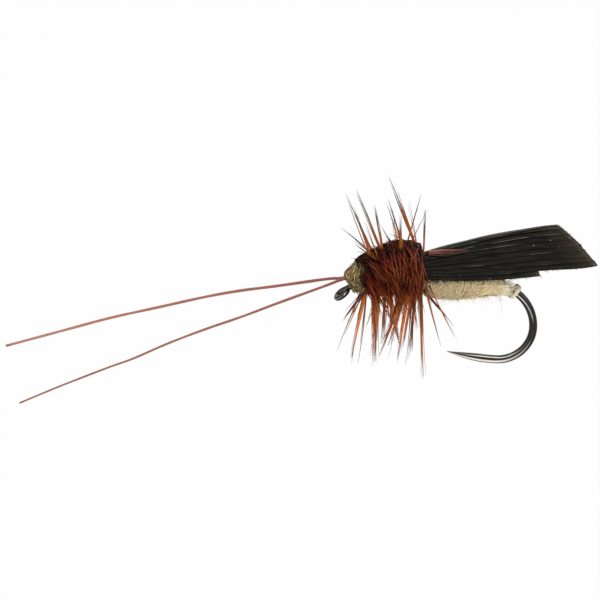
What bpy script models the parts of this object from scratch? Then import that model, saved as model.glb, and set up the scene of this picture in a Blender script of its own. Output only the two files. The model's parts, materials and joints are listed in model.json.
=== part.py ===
"""Adult caddis dry fly: a barbless hook dressed with dubbed fur, a folded quill wing,
a wound cock's hackle and two long quill antennae.

Units are metres and +Z is up. +X runs from the head to the tail, along the hook's shank.
The origin is the centre of the hook's eye.
"""

import math
import random

import bmesh
import bpy
from mathutils import Vector, geometry

MM = 0.001

# Hook: a tapered wire, bent to a down-turned eye, a straight shank, a bend and a spear
WIRE = 0.48 * MM
EYE_WIRE = 0.36 * MM
EYE_HOLE = 0.56 * MM
EYE_DROOP = math.radians(42)
EYE_SEAM = math.radians(24)
EYE_OPEN = math.radians(58)
NECK = 0.35 * MM
THROAT = 0.65 * NECK
NECK_END = 0.7 * NECK
NECK_PULL = 1.2 * NECK
SHANK_LENGTH = 9.3 * MM
BEND_REACH = 3.25 * MM
BEND_DROP = 3.03 * MM
HEEL_REACH = 2.28 * MM
HEEL_DROP = 2.17 * MM
SPEAR_LENGTH = 3.56 * MM
SPEAR_RISE = 0.55 * MM
SPEAR_CURVE = 1.55
POINT_TAPER = 2.6 * MM
POINT_TIP = 0.03 * MM
FORGED_WIDTH = 0.56 * MM
FORGED_THICKNESS = 0.38 * MM
WIRE_SIDES = 12
LOOP_STEPS = 20
NECK_STEPS = 6
BEND_STEPS = 12
HEEL_STEPS = 10
SPEAR_STEPS = 12

# Gap between a piece and what it is wound, dubbed or tied on
CLEARANCE = 0.03 * MM

# Tying thread: a layer on the shank and three bands of turns
THREAD_LAYER = 0.05 * MM
WHIP_LENGTH = 0.16 * MM
WRAPS_LENGTH = 0.10 * MM
WRAPS_HEIGHT = 0.22 * MM

# Head: a dubbed lump that overhangs the eye
HEAD_LENGTH = 0.66 * MM
HEAD_WALL = 0.16 * MM
HEAD_SIDE = 0.78 * MM
HEAD_OVERHANG = 0.42

# Thorax: a dubbed hump over the shank
THORAX_LENGTH = 3.66 * MM
THORAX_HUMP = 2.5 * MM
THORAX_WALL = 0.2 * MM
THORAX_SIDE = 1.22 * MM
THORAX_TAPER = 0.22
THORAX_CREST = 0.3
BLUNTNESS = 4

# Wing butt: the trimmed end of the wing's slip, tied forward over the thorax
BUTT_WIDTH = 0.6 * MM
BUTT_THICKNESS = 0.12 * MM
BUTT_STUB = 0.85 * MM
BUTT_STEPS = 14

# Hackle: one feather, wound along the thorax
HACKLE_TURNS = 5
HACKLE_POINTS = 24
HACKLE_MARGIN = 0.27 * MM
STEM_WIDTH = 0.2 * MM
STEM_DEPTH = 0.2 * MM
STEM_STRIPS = 3
LEAST_STEM_GAP = 0.4 * MM

# Barbs: their shape, the room that each keeps from the others past its root, and how much shorter
# it may be cut to keep it
BARB_LENGTH = 4.45 * MM
BARB_THICKNESS = 0.08 * MM
BARB_KNEE = 0.45
BARB_WAIST = 0.75
BARB_FREE = 0.12
BARB_ROOM = 0.085 * MM
BARB_TRIES = 24
BARB_CUT = 0.6

# Barbs at the thorax's sides: where their roots start and end, and which way the first and last point,
# as angles from the top, and their lean to the tail
SIDE_TOP = math.radians(24)
SIDE_UNDER = math.radians(128)
SIDE_WAY_TOP = math.radians(97)
SIDE_WAY_UNDER = math.radians(120)
SIDE_WAY_SPREAD = math.radians(1)
SIDE_LENGTH = 3.4 * MM
SIDE_LENGTH_SPREAD = 0.5 * MM
LEAN_FRONT = math.radians(6)
LEAN_REAR = math.radians(0)
LEAN_STRIP = math.radians(3)
LEAN_SPREAD = math.radians(1)

# Bundles that the barbs above and below the thorax cling in: where each is rooted along the thorax and at
# what angle from the top round it, its lean to the tail in degrees, and its length as a share of a barb's
BUNDLES = [
    (0.00, -15, -22, 1.02), (0.20, 11, -24, 1.11), (0.11, 34, -23, 0.98), (0.23, -8, -14, 0.84),
    (0.09, 23, -49, 0.75), (0.57, -11, -21, 0.89), (0.82, 8, -23, 1.16), (0.53, -27, -8, 0.71),
    (0.95, -38, -7, 1.02), (0.73, 19, 17, 0.86), (0.42, -19, -32, 0.51), (0.09, -34, -53, 0.57),
    (-0.10, 194, -38, 0.52), (-0.09, 169, -29, 0.49), (-0.07, 202, -13, 1.03),
    (-0.04, 166, -6, 1.06), (0.04, 225, -1, 0.99), (0.16, 186, 2, 1.06), (0.29, 216, -7, 0.81),
    (0.42, 191, 11, 0.79), (0.57, 230, -23, 0.67), (0.68, 174, -16, 1.10), (0.73, 208, -11, 1.06),
    (0.74, 160, -7, 0.90), (0.75, 233, 1, 0.72), (0.85, 194, -1, 0.90), (0.92, 228, -3, 0.90),
    (0.96, 202, 1, 1.21), (0.97, 205, 0, 1.33), (1.06, 216, 17, 0.88), (1.12, 228, 28, 0.88),
    (1.06, 208, 47, 0.67),
]
BUNDLE_FAN = 0.75
BUNDLE_WIDTH = math.radians(30)
BUNDLE_DEPTH = 0.2
BUNDLE_CHOICES = 5
BUNDLE_SPREAD = 0.45
BUNDLE_STRIP = 0.14 * MM
BUNDLE_SHORTEST = 0.72

# Abdomen: a dubbed spindle that fills the shank up to the bend
DUBBING_FRONT = 0.52 * MM
DUBBING_BELLY = 0.66 * MM
DUBBING_REAR = 0.34 * MM
BELLY_AT = 0.4
BODY_OVERRUN = 0.82 * MM
BODY_END = 0.4
BODY_RINGS = 18

# Tag: pale flat wraps on the first of the bend
TAG_LENGTH = 0.86 * MM
TAG_HEIGHT = 0.2 * MM
TAG_TURNS = [0.75, 0.95, 1.0, 0.95, 1.0, 0.95, 0.8]

# Wing: a quill slip folded along its ridge, with a slanted cut at the tail
WING_LENGTH = 9.0 * MM
WING_CUT = 2.5 * MM
WING_THICKNESS = 0.1 * MM
RIDGE_ROOT = 2.2 * MM
RIDGE_TAIL = 4.07 * MM
RIDGE_BOW = 0.24 * MM
EDGE_ROOT = 0.42 * MM
EDGE_TAIL = 1.8 * MM
EDGE_SAG = 0.32 * MM
EDGE_STAND_OFF = 0.1 * MM
EDGE_FLARE = 0.28 * MM
WING_STEPS = 14
WING_ROWS = 7

# Bundle of hackle barbs that lies back on the wing
SWEPT_LENGTH = 2.8 * MM
SWEPT_RADIUS = 0.13 * MM
SWEPT_ROW = 0.13
SWEPT_TIP = 0.25
SWEPT_STEPS = 8

# Antennae: stripped quills. A route lists shares of the reach ahead of, out from and below the root
ANTENNA_RADIUS = 0.115 * MM
ANTENNA_TIP_RADIUS = 0.075 * MM
ANTENNA_GAP = 0.08 * MM
ANTENNA_SPACING = 0.34 * MM
ANTENNA_STUB = 0.5 * MM
ANTENNA_SAG = 0.12 * MM
LEFT_REACH = 22.95 * MM
RIGHT_REACH = 21.2 * MM
LEFT_ROUTE = [
    (0.0528, 0.0240, 0.0124),
    (0.2096, 0.0922, 0.0472),
    (0.3261, 0.1349, 0.0771),
    (0.4410, 0.1717, 0.1049),
    (0.5545, 0.2017, 0.1387),
    (0.6644, 0.2260, 0.1788),
    (0.7369, 0.2388, 0.2009),
    (0.8820, 0.2564, 0.2524),
    (1.0000, 0.2627, 0.3007),
]
RIGHT_ROUTE = [
    (0.0422, 0.0243, 0.0093),
    (0.1792, 0.0951, 0.0494),
    (0.2842, 0.1406, 0.0761),
    (0.3884, 0.1792, 0.1064),
    (0.5318, 0.2211, 0.1517),
    (0.6754, 0.2528, 0.1939),
    (0.8239, 0.2734, 0.2410),
    (1.0000, 0.2844, 0.2929),
]
ROUTE_STEPS = 2
QUILL_SIDES = 8

RANDOM_SEED = 7


# Places along the shank, each worked out from the piece before it
WIRE_RADIUS = WIRE / 2
EYE_RADIUS = (EYE_HOLE + EYE_WIRE) / 2
EYE_PULL = 1.3 * EYE_RADIUS
CORNER = EYE_RADIUS + EYE_WIRE / 2 + NECK
SHANK_X = CORNER * math.cos(EYE_DROOP)
SHANK_Z = CORNER * math.sin(EYE_DROOP)
BEND_X = SHANK_X + SHANK_LENGTH
BEND_TIP_X = BEND_X + BEND_REACH
HEEL_Z = SHANK_Z - BEND_DROP
THREAD_RADIUS = WIRE_RADIUS + CLEARANCE + THREAD_LAYER
BORE_RADIUS = THREAD_RADIUS + CLEARANCE
WHIP_END = SHANK_X + WHIP_LENGTH
HEAD_START = WHIP_END + CLEARANCE
HEAD_END = HEAD_START + HEAD_LENGTH
THORAX_START = HEAD_END + WRAPS_LENGTH + 2 * CLEARANCE
THORAX_END = THORAX_START + THORAX_LENGTH
ABDOMEN_START = THORAX_END + WRAPS_LENGTH + 2 * CLEARANCE
ABDOMEN_END = BEND_X + BODY_OVERRUN
TAG_START = ABDOMEN_END + CLEARANCE
TAG_END = TAG_START + TAG_LENGTH
WING_START = ABDOMEN_START
ANTENNA_Z = SHANK_Z + THREAD_RADIUS + CLEARANCE + ANTENNA_RADIUS
ANTENNA_ROOT_X = HEAD_START - HEAD_OVERHANG * THORAX_HUMP
ANTENNA_ROOT_Z = ANTENNA_Z - ANTENNA_SAG


def clamp(value, low, high):
    return max(low, min(high, value))


def mix(a, b, share):
    return a + (b - a) * share


def ease(share):
    """Smooth step from 0 to 1."""
    share = clamp(share, 0.0, 1.0)
    return share * share * (3 - 2 * share)


def hermite(start, start_way, end, end_way, count):
    """Points of a cubic that leaves start along start_way and reaches end along end_way."""
    points = []
    for step in range(1, count + 1):
        s = step / count
        points.append(
            start * (2 * s**3 - 3 * s**2 + 1)
            + start_way * (s**3 - 2 * s**2 + s)
            + end * (3 * s**2 - 2 * s**3)
            + end_way * (s**3 - s**2)
        )
    return points


def smooth_route(points, steps):
    """Points of a Catmull-Rom curve through a route, with the given steps between its points."""
    ends = [points[0] * 2 - points[1]] + points + [points[-1] * 2 - points[-2]]
    route = [points[0]]
    for before, here, there, after in zip(ends, ends[1:], ends[2:], ends[3:]):
        route += hermite(here, (there - before) / 2, there, (after - here) / 2, steps)
    return route


# Scene


def clear_scene():
    for old in list(bpy.data.objects):
        bpy.data.objects.remove(old, do_unlink=True)


def new_collection(name):
    group = bpy.data.collections.new(name)
    bpy.context.scene.collection.children.link(group)
    return group


def new_material(name, colour, roughness, metallic=0.0):
    finish = bpy.data.materials.new(name)
    finish.use_nodes = True
    shader = finish.node_tree.nodes["Principled BSDF"]
    shader.inputs["Base Color"].default_value = (*colour, 1.0)
    shader.inputs["Roughness"].default_value = roughness
    shader.inputs["Metallic"].default_value = metallic
    finish.diffuse_color = (*colour, 1.0)
    return finish


def add_mesh(name, bm, group, finish=None):
    """Object made from a bmesh, shaded smooth, with its place in its mesh."""
    mesh = bpy.data.meshes.new(name)
    bm.to_mesh(mesh)
    bm.free()
    mesh.shade_smooth()
    mesh.set_sharp_from_angle(angle=math.radians(50))
    made = bpy.data.objects.new(name, mesh)
    group.objects.link(made)
    if finish:
        mesh.materials.append(finish)
    return made


def tube_mesh(points, radii, sides):
    """Closed bmesh of a bevelled curve along the points, with its caps welded."""
    thickest = max(radii)
    curve = bpy.data.curves.new("wire", "CURVE")
    curve.dimensions = "3D"
    curve.bevel_depth = thickest
    curve.bevel_resolution = sides // 2 - 2
    curve.use_fill_caps = True
    spline = curve.splines.new("POLY")
    spline.points.add(len(points) - 1)
    for node, place, radius in zip(spline.points, points, radii):
        node.co = (*place, 1.0)
        node.radius = radius / thickest
    guide = bpy.data.objects.new("wire", curve)
    bpy.context.scene.collection.objects.link(guide)
    seen = guide.evaluated_get(bpy.context.evaluated_depsgraph_get())
    mesh = bpy.data.meshes.new_from_object(seen)
    bm = bmesh.new()
    bm.from_mesh(mesh)
    bmesh.ops.remove_doubles(bm, verts=bm.verts, dist=1e-7)
    bmesh.ops.recalc_face_normals(bm, faces=bm.faces)
    bpy.data.objects.remove(guide, do_unlink=True)
    bpy.data.curves.remove(curve)
    bpy.data.meshes.remove(mesh)
    return bm


def cut_with(piece, cutter):
    cutter.hide_render = True
    cutter.display_type = "WIRE"
    cut = piece.modifiers.new(cutter.name, "BOOLEAN")
    cut.operation = "DIFFERENCE"
    cut.object = cutter


def set_origin(piece, place):
    """Moves an object's origin to a place on its joint's axis."""
    for point in piece.data.vertices:
        point.co -= place
    piece.location = place


# Hook


def shank_point(x):
    """Place on the wire's centre line at x, along the shank and the first of the bend."""
    if x <= BEND_X:
        return Vector((x, 0, SHANK_Z))
    turn = math.asin(min(1.0, (x - BEND_X) / BEND_REACH))
    return Vector((x, 0, SHANK_Z - BEND_DROP * (1 - math.cos(turn))))


def shank_route(start, end, count):
    """Evenly spaced places on the wire's centre line from one x to another."""
    return [shank_point(mix(start, end, step / count)) for step in range(count + 1)]


def eye_and_neck():
    """Centre line and radii from the eye's seam, round its loop and up its neck to the shank."""
    neck_way = Vector((math.cos(EYE_DROOP), 0, math.sin(EYE_DROOP)))
    side_way = Vector((0, 1, 0))
    first, last = -EYE_SEAM, EYE_OPEN - 2 * math.pi
    points = []
    for step in range(LOOP_STEPS + 1):
        angle = mix(first, last, step / LOOP_STEPS)
        points.append(EYE_RADIUS * (math.cos(angle) * neck_way + math.sin(angle) * side_way))
    radii = [EYE_WIRE / 2] * len(points)
    leave = (math.sin(last) * neck_way - math.cos(last) * side_way) * EYE_PULL
    throat = neck_way * (CORNER - THROAT)
    into_throat = hermite(points[-1], leave, throat, neck_way * EYE_PULL, NECK_STEPS)
    shank = Vector((SHANK_X + NECK_END, 0, SHANK_Z))
    into_shank = hermite(throat, neck_way * NECK_PULL, shank, Vector((NECK_PULL, 0, 0)), NECK_STEPS)
    points += into_throat + into_shank
    thin = EYE_WIRE / 2
    middle = mix(thin, WIRE_RADIUS, 0.35)
    radii += [mix(thin, middle, ease((step + 1) / NECK_STEPS)) for step in range(NECK_STEPS)]
    radii += [mix(middle, WIRE_RADIUS, ease((step + 1) / NECK_STEPS)) for step in range(NECK_STEPS)]
    return points, radii


def bend_and_spear():
    """Centre line and radii from the shank's end, round the bend to the needle point."""
    forged = FORGED_WIDTH / 2
    points, radii = [], []
    for step in range(BEND_STEPS):
        turn = math.pi / 2 * step / BEND_STEPS
        x = BEND_X + BEND_REACH * math.sin(turn)
        z = SHANK_Z - BEND_DROP * (1 - math.cos(turn))
        points.append(Vector((x, 0, z)))
        radii.append(mix(WIRE_RADIUS, forged, ease(2 * step / BEND_STEPS)))
    heel_x = BEND_TIP_X - HEEL_REACH
    for step in range(HEEL_STEPS):
        turn = math.pi / 2 * step / HEEL_STEPS
        x = heel_x + HEEL_REACH * math.cos(turn)
        z = HEEL_Z - HEEL_DROP * math.sin(turn)
        points.append(Vector((x, 0, z)))
        radii.append(forged)
    for step in range(SPEAR_STEPS + 1):
        share = step / SPEAR_STEPS
        x = heel_x - SPEAR_LENGTH * share
        z = HEEL_Z - HEEL_DROP + SPEAR_RISE * share**SPEAR_CURVE
        points.append(Vector((x, 0, z)))
        left = SPEAR_LENGTH * (1 - share)
        radii.append(mix(POINT_TIP, forged, math.sin(math.pi / 2 * min(1.0, left / POINT_TAPER))))
    return points, radii


def build_hook(parts, finish):
    eye, eye_radii = eye_and_neck()
    bend, bend_radii = bend_and_spear()
    bm = tube_mesh(eye + bend, eye_radii + bend_radii, WIRE_SIDES)
    for point in bm.verts:
        pressed = 1.0
        if point.co.z > HEEL_Z:
            pressed = ease((point.co.x - BEND_X) / (0.5 * BEND_REACH))
        flat = mix(WIRE_RADIUS, FORGED_THICKNESS / 2, pressed)
        point.co.y = clamp(point.co.y, -flat, flat) if pressed else point.co.y
    return add_mesh("hook", bm, parts, finish)


# Thread, tag and abdomen: sleeves on the wire


def build_sleeve(name, places, radii, bore, parts, cutters, finish):
    """Tube along the wire's centre line, bored to slide over what is on the wire."""
    sleeve = add_mesh(name, tube_mesh(places, radii, WIRE_SIDES), parts, finish)
    run = (places[1] - places[0]).normalized() * BORE_RADIUS
    run_out = (places[-1] - places[-2]).normalized() * BORE_RADIUS
    through = [places[0] - run] + places + [places[-1] + run_out]
    core = add_mesh(name + "_bore", tube_mesh(through, [bore] * len(through), WIRE_SIDES), cutters)
    cut_with(sleeve, core)
    return sleeve


def build_thread(parts, cutters, finish):
    wire_bore = WIRE_RADIUS + CLEARANCE
    layer = shank_route(HEAD_START, BEND_X, 2) + shank_route(BEND_X, ABDOMEN_END, 3)[1:]
    build_sleeve("thread_base", layer, [THREAD_RADIUS] * len(layer), wire_bore, parts, cutters, finish)
    knot = shank_route(SHANK_X + NECK_END - WHIP_LENGTH, WHIP_END, 2)
    build_sleeve("whip_finish", knot, [THREAD_RADIUS] * len(knot), wire_bore, parts, cutters, finish)
    for name, start in (("hackle_wraps", HEAD_END), ("wing_wraps", THORAX_END)):
        band = shank_route(start + CLEARANCE, start + CLEARANCE + WRAPS_LENGTH, 2)
        crown = BORE_RADIUS + WRAPS_HEIGHT
        radii = [crown - CLEARANCE, crown, crown - CLEARANCE]
        build_sleeve(name, band, radii, BORE_RADIUS, parts, cutters, finish)


def dubbing_radius(share):
    """Abdomen's radius from its front, at share 0, over its belly to its tail, at share 1."""
    if share < BELLY_AT:
        depth = mix(DUBBING_FRONT, DUBBING_BELLY, ease(share / BELLY_AT))
    else:
        depth = mix(DUBBING_BELLY, DUBBING_REAR, ease((share - BELLY_AT) / (1 - BELLY_AT)))
    roundness = math.sqrt(1 - abs(2 * share - 1) ** 12)
    return BORE_RADIUS + depth * mix(BODY_END, 1.0, roundness)


def build_abdomen(parts, cutters, finish):
    shares = [0.5 - 0.5 * math.cos(math.pi * step / BODY_RINGS) for step in range(BODY_RINGS + 1)]
    places = [shank_point(mix(ABDOMEN_START, ABDOMEN_END, share)) for share in shares]
    radii = [dubbing_radius(share) for share in shares]
    return build_sleeve("abdomen", places, radii, BORE_RADIUS, parts, cutters, finish)


def build_tag(parts, cutters, finish):
    places = shank_route(TAG_START, TAG_END, len(TAG_TURNS) - 1)
    bore = mix(WIRE_RADIUS, FORGED_WIDTH / 2, ease((TAG_END - BEND_X) / (0.5 * BEND_REACH))) + CLEARANCE
    radii = [bore + TAG_HEIGHT * share for share in TAG_TURNS]
    return build_sleeve("tag", places, radii, bore, parts, cutters, finish)


# Head and thorax: dubbed lumps, bored for the shank


def blunt(along):
    """Radius of a blunt-ended lump of half length 1, at a place from -1 to 1 along it."""
    return max(0.0, 1 - abs(along) ** BLUNTNESS) ** (1 / BLUNTNESS)


def thorax_section(x):
    """Height above the shank, depth below it and half width of the thorax at x."""
    along = clamp(2 * (x - THORAX_START) / THORAX_LENGTH - 1, -1.0, 1.0)
    round_end = blunt(along)
    over = THORAX_HUMP * (1 + THORAX_TAPER * (along - THORAX_CREST)) * round_end
    under = (BORE_RADIUS + THORAX_WALL) * round_end**0.5
    side = THORAX_SIDE * (1 + THORAX_TAPER * (along - THORAX_CREST)) * round_end
    return over, under, side


def lump(name, start, length, section, lean, parts, finish):
    """A sphere whose rings are given the height, depth and half width that section says."""
    bm = bmesh.new()
    bmesh.ops.create_uvsphere(bm, u_segments=20, v_segments=14, radius=1.0)
    for point in bm.verts:
        along = clamp(point.co.z, -1.0, 1.0)
        ring = max(1e-9, math.hypot(point.co.x, point.co.y))
        across, up = point.co.y / ring, point.co.x / ring
        if ring < 1e-6:
            across, up = 0.0, 0.0
        x = start + length * (along + 1) / 2
        over, under, side = section(x)
        rise = mix(-under, over, (up + 1) / 2) if ring > 1e-6 else 0.0
        point.co = Vector((x - lean * max(rise, 0.0), side * across, SHANK_Z + rise))
    bmesh.ops.recalc_face_normals(bm, faces=bm.faces)
    return add_mesh(name, bm, parts, finish)


def build_thorax(parts, cutters, finish):
    thorax = lump("thorax", THORAX_START, THORAX_LENGTH, thorax_section, 0.0, parts, finish)
    through = shank_route(THORAX_START - BORE_RADIUS, THORAX_END + BORE_RADIUS, 1)
    bore = add_mesh("thorax_bore", tube_mesh(through, [BORE_RADIUS] * 2, WIRE_SIDES), cutters)
    cut_with(thorax, bore)
    return thorax


def butt_height(x):
    """Underside of the wing's butt above the shank: on the thorax, then level over the head."""
    shoulder = THORAX_START + HACKLE_MARGIN
    return thorax_section(max(x, shoulder))[0] + CLEARANCE


def head_section(x):
    """Height above the shank, depth below it and half width of the head at x."""
    along = clamp(2 * (x - HEAD_START) / HEAD_LENGTH - 1, -1.0, 1.0)
    over = (butt_height(HEAD_END) - CLEARANCE) * blunt(along)
    under = (BORE_RADIUS + HEAD_WALL) * blunt(along) ** 0.5
    return over, under, HEAD_SIDE * blunt(along)


def build_head(parts, cutters, finish):
    head = lump("head", HEAD_START, HEAD_LENGTH, head_section, HEAD_OVERHANG, parts, finish)
    through = shank_route(SHANK_X - WIRE, HEAD_END + BORE_RADIUS, 1)
    bore = add_mesh("head_bore", tube_mesh(through, [BORE_RADIUS] * 2, WIRE_SIDES), cutters)
    cut_with(head, bore)
    return head


def build_wing_butt(parts, finish):
    """Strip of folded quill over the thorax, its trimmed stub standing over the head."""
    front = HEAD_END - BUTT_STUB
    rear = THORAX_END - HACKLE_MARGIN
    bm = bmesh.new()
    bmesh.ops.create_grid(bm, x_segments=BUTT_STEPS, y_segments=1, size=0.5)
    for point in bm.verts:
        x = mix(front, rear, point.co.x + 0.5)
        point.co = Vector((x, BUTT_WIDTH * point.co.y, SHANK_Z + butt_height(x)))
    raised = bmesh.ops.extrude_face_region(bm, geom=bm.faces[:], use_keep_orig=True)["geom"]
    corners = [part for part in raised if isinstance(part, bmesh.types.BMVert)]
    bmesh.ops.translate(bm, verts=corners, vec=(0, 0, BUTT_THICKNESS))
    bmesh.ops.recalc_face_normals(bm, faces=bm.faces)
    return add_mesh("wing_butt", bm, parts, finish)


# Hackle


def hackle_section(x):
    """Centre height, half height and half width of the loop that the stem makes at x."""
    near = [thorax_section(x + step * STEM_WIDTH / 2) for step in (-1, 0, 1)]
    over, under, side = (max(values) for values in zip(*near))
    off = 1.5 * CLEARANCE + STEM_DEPTH / 2
    top = over + BUTT_THICKNESS + 2 * CLEARANCE + off
    bottom = under + off
    return (top - bottom) / 2, (top + bottom) / 2, side + off


def stem_frame(turn):
    """Place on the stem's centre line after so many turns, and the way out of the thorax there."""
    start = THORAX_START + HACKLE_MARGIN
    end = THORAX_END - HACKLE_MARGIN
    x = mix(start, end, turn / HACKLE_TURNS)
    centre, high, wide = hackle_section(x)
    angle = 2 * math.pi * turn
    place = Vector((x, wide * math.sin(angle), SHANK_Z + centre + high * math.cos(angle)))
    out = Vector((0, math.sin(angle) / wide, math.cos(angle) / high)).normalized()
    return place, out


def stem_gap(centres):
    """Least distance between two turns of the stem, less the stem's width."""
    least = math.inf
    for first, here in enumerate(centres):
        for there in centres[first + HACKLE_POINTS // 2 :]:
            least = min(least, (here - there).length - STEM_WIDTH)
    return least


def build_stem(bm):
    """Unbroken ribbon wound round the thorax, with strips of faces on its outer side for barbs."""
    count = HACKLE_TURNS * HACKLE_POINTS
    frames = [stem_frame(step / HACKLE_POINTS) for step in range(count + 1)]
    gap = stem_gap([place for place, _ in frames])
    print(f"least gap between turns of the hackle's stem: {gap / MM:.3f} mm")
    if gap <= LEAST_STEM_GAP:
        print("the hackle's turns lie closer than they should")
    half = Vector((STEM_WIDTH / 2, 0, 0))
    rings = []
    for place, out in frames:
        base, crown = place - out * STEM_DEPTH / 2, place + out * STEM_DEPTH / 2
        outer = [crown + half * (1 - 2 * step / STEM_STRIPS) for step in range(STEM_STRIPS + 1)]
        rings.append([bm.verts.new(corner) for corner in [base - half, base + half] + outer])
    bm.faces.new(rings[0])
    bm.faces.new(list(reversed(rings[-1])))
    crown_faces = []
    corners = len(rings[0])
    for ring, following in zip(rings, rings[1:]):
        for corner in range(corners):
            beside = (corner + 1) % corners
            wall = [ring[corner], following[corner], following[beside], ring[beside]]
            face = bm.faces.new(wall)
            if corner >= 2 and beside > corner:
                crown_faces.append(face)
    bmesh.ops.recalc_face_normals(bm, faces=bm.faces)
    return crown_faces


def hackle_angle(place):
    """Angle from the top, round the loop of the stem, at which a place lies."""
    centre, high, wide = hackle_section(place.x)
    return math.atan2(place.y / wide, (place.z - SHANK_Z - centre) / high)


def bundle_ends():
    """Root and end of each bundle, on either side of the fly."""
    bundles = []
    for hand in (1, -1):
        for along, degrees, lean, length in BUNDLES:
            angle = hand * math.radians(degrees)
            lean = math.radians(lean)
            upright = 0.0 if math.cos(angle) > 0 else hand * math.pi
            fan = mix(upright, angle, BUNDLE_FAN)
            x = THORAX_START + along * THORAX_LENGTH
            on_stem = clamp(x, THORAX_START + HACKLE_MARGIN, THORAX_END - HACKLE_MARGIN)
            centre, high, wide = hackle_section(on_stem)
            root = Vector((x, wide * math.sin(angle), SHANK_Z + centre + high * math.cos(angle)))
            way = Vector((math.sin(lean), math.cos(lean) * math.sin(fan), math.cos(lean) * math.cos(fan)))
            bundles.append((root, root + way * length * BARB_LENGTH))
    return bundles


def bundle_distance(root, angle, bundle):
    """How far a barb's root lies from a bundle's, along the thorax and round it."""
    round_it = math.remainder(angle - hackle_angle(bundle[0]), 2 * math.pi) / BUNDLE_WIDTH
    along = (root.x - bundle[0].x) / THORAX_LENGTH / BUNDLE_DEPTH
    return math.hypot(round_it, along)


def clinging_barb(root, strip, bundle, rng):
    """Span of a barb that closes in on a bundle's end beside its neighbours, or stops short of it."""
    end = bundle[1] + (root - bundle[0]) * BUNDLE_SPREAD + Vector((strip * BUNDLE_STRIP, 0, 0))
    return (end - root) * rng.uniform(BUNDLE_SHORTEST, 1.0)


def side_barb(angle, share, strip, rng):
    """Span of a barb at the thorax's side: out and down, in a fan narrower than that of the roots."""
    down = (abs(angle) - SIDE_TOP) / (SIDE_UNDER - SIDE_TOP)
    fan = mix(SIDE_WAY_TOP, SIDE_WAY_UNDER, down) + rng.uniform(-1, 1) * SIDE_WAY_SPREAD
    lean = mix(LEAN_FRONT, LEAN_REAR, share) + strip * LEAN_STRIP + rng.uniform(-1, 1) * LEAN_SPREAD
    out = math.copysign(math.sin(fan), angle)
    way = Vector((math.sin(lean), math.cos(lean) * out, math.cos(lean) * math.cos(fan)))
    return way * (SIDE_LENGTH + rng.uniform(-1, 1) * SIDE_LENGTH_SPREAD)


def barb_spans(root, share, strip, bundles, rng):
    """Spans that a barb may take: the likeliest first, then ever shorter ones."""
    angle = hackle_angle(root)
    near = sorted(bundles, key=lambda bundle: bundle_distance(root, angle, bundle))
    for attempt in range(BARB_TRIES):
        if SIDE_TOP < abs(angle) < SIDE_UNDER:
            span = side_barb(angle, share, strip, rng)
        else:
            span = clinging_barb(root, strip, near[attempt % BUNDLE_CHOICES], rng)
        yield span * (1 - BARB_CUT * attempt / BARB_TRIES)


def barb_room(share):
    """Half the room that a barb needs at a share of its length, most at the knee."""
    return BARB_ROOM / 2 * min(mix(BARB_WAIST, 1.0, share / BARB_KNEE), (1 - share) / (1 - BARB_KNEE))


def barbs_touch(barb, other):
    """Whether two barbs, each a root and a tip, come too near each other past their roots."""
    places = [mix(*line, share) for line in (barb, other) for share in (BARB_FREE, BARB_KNEE, 1.0)]
    crossing = geometry.intersect_line_line(*barb, *other)
    if crossing:
        places.append(crossing[0])
    for place in places:
        here = clamp(geometry.intersect_point_line(place, *barb)[1], BARB_FREE, 1.0)
        place = mix(*barb, here)
        there = clamp(geometry.intersect_point_line(place, *other)[1], BARB_FREE, 1.0)
        if (place - mix(*other, there)).length < barb_room(here) + barb_room(there):
            return True
    return False


def lay_barbs(roots):
    """Root and tip of each barb, where every barb takes the first span that is clear of those before it."""
    rng = random.Random(RANDOM_SEED)
    bundles = bundle_ends()
    barbs = []
    touching = 0
    for order, root in enumerate(roots):
        strip = (STEM_STRIPS - 1) / 2 - order % STEM_STRIPS
        for span in barb_spans(root, order / len(roots), strip, bundles, rng):
            barb = (root, root + span)
            if not any(barbs_touch(barb, other) for other in barbs):
                break
        else:
            touching += 1
        barbs.append(barb)
    print(f"barbs of the hackle: {len(barbs)}, of which touch another: {touching}")
    return barbs


def build_hackle(parts, finish):
    """The stem with a barb drawn out of each face on its outer side."""
    bm = bmesh.new()
    crown_faces = build_stem(bm)
    drawn = bmesh.ops.extrude_discrete_faces(bm, faces=crown_faces)["faces"]
    barbs = lay_barbs([face.calc_center_median() for face in drawn])
    for face, (root, tip) in zip(drawn, barbs):
        span = tip - root
        knee = mix(root, tip, BARB_KNEE)
        along = (face.verts[1].co - face.verts[0].co).normalized() * BARB_THICKNESS / 2
        across = span.cross(along).normalized() * BARB_THICKNESS / 2
        signs = ((-1, 1), (1, 1), (1, -1), (-1, -1))
        corners = [knee + along * a + across * b for a, b in signs]
        normal = (corners[1] - corners[0]).cross(corners[2] - corners[1])
        if normal.dot(span) < 0:
            corners = [knee + along * a - across * b for a, b in signs]
        for corner, place in zip(face.verts, corners):
            corner.co = place
    poked = bmesh.ops.poke(bm, faces=drawn)["verts"]
    for point, (_, tip) in zip(poked, barbs):
        point.co = tip
    return add_mesh("hackle", bm, parts, finish)


# Wing


def wing_point(along, down):
    """Place on the wing's left half: along from root to tail, down from the ridge to the edge."""
    x = WING_START + along * (WING_LENGTH + WING_CUT * down)
    ridge_share = (x - WING_START) / WING_LENGTH
    edge_share = (x - WING_START) / (WING_LENGTH + WING_CUT)
    bow = 4 * RIDGE_BOW * ridge_share * (1 - ridge_share)
    sag = 4 * EDGE_SAG * edge_share * (1 - edge_share)
    ridge = mix(RIDGE_ROOT, RIDGE_TAIL, ridge_share) + bow
    edge = mix(EDGE_ROOT, EDGE_TAIL, edge_share) - sag
    out = BORE_RADIUS + DUBBING_BELLY + EDGE_STAND_OFF + EDGE_FLARE * edge_share
    return Vector((x, -out * down**0.75, SHANK_Z + mix(ridge, edge, down**1.2)))


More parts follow.
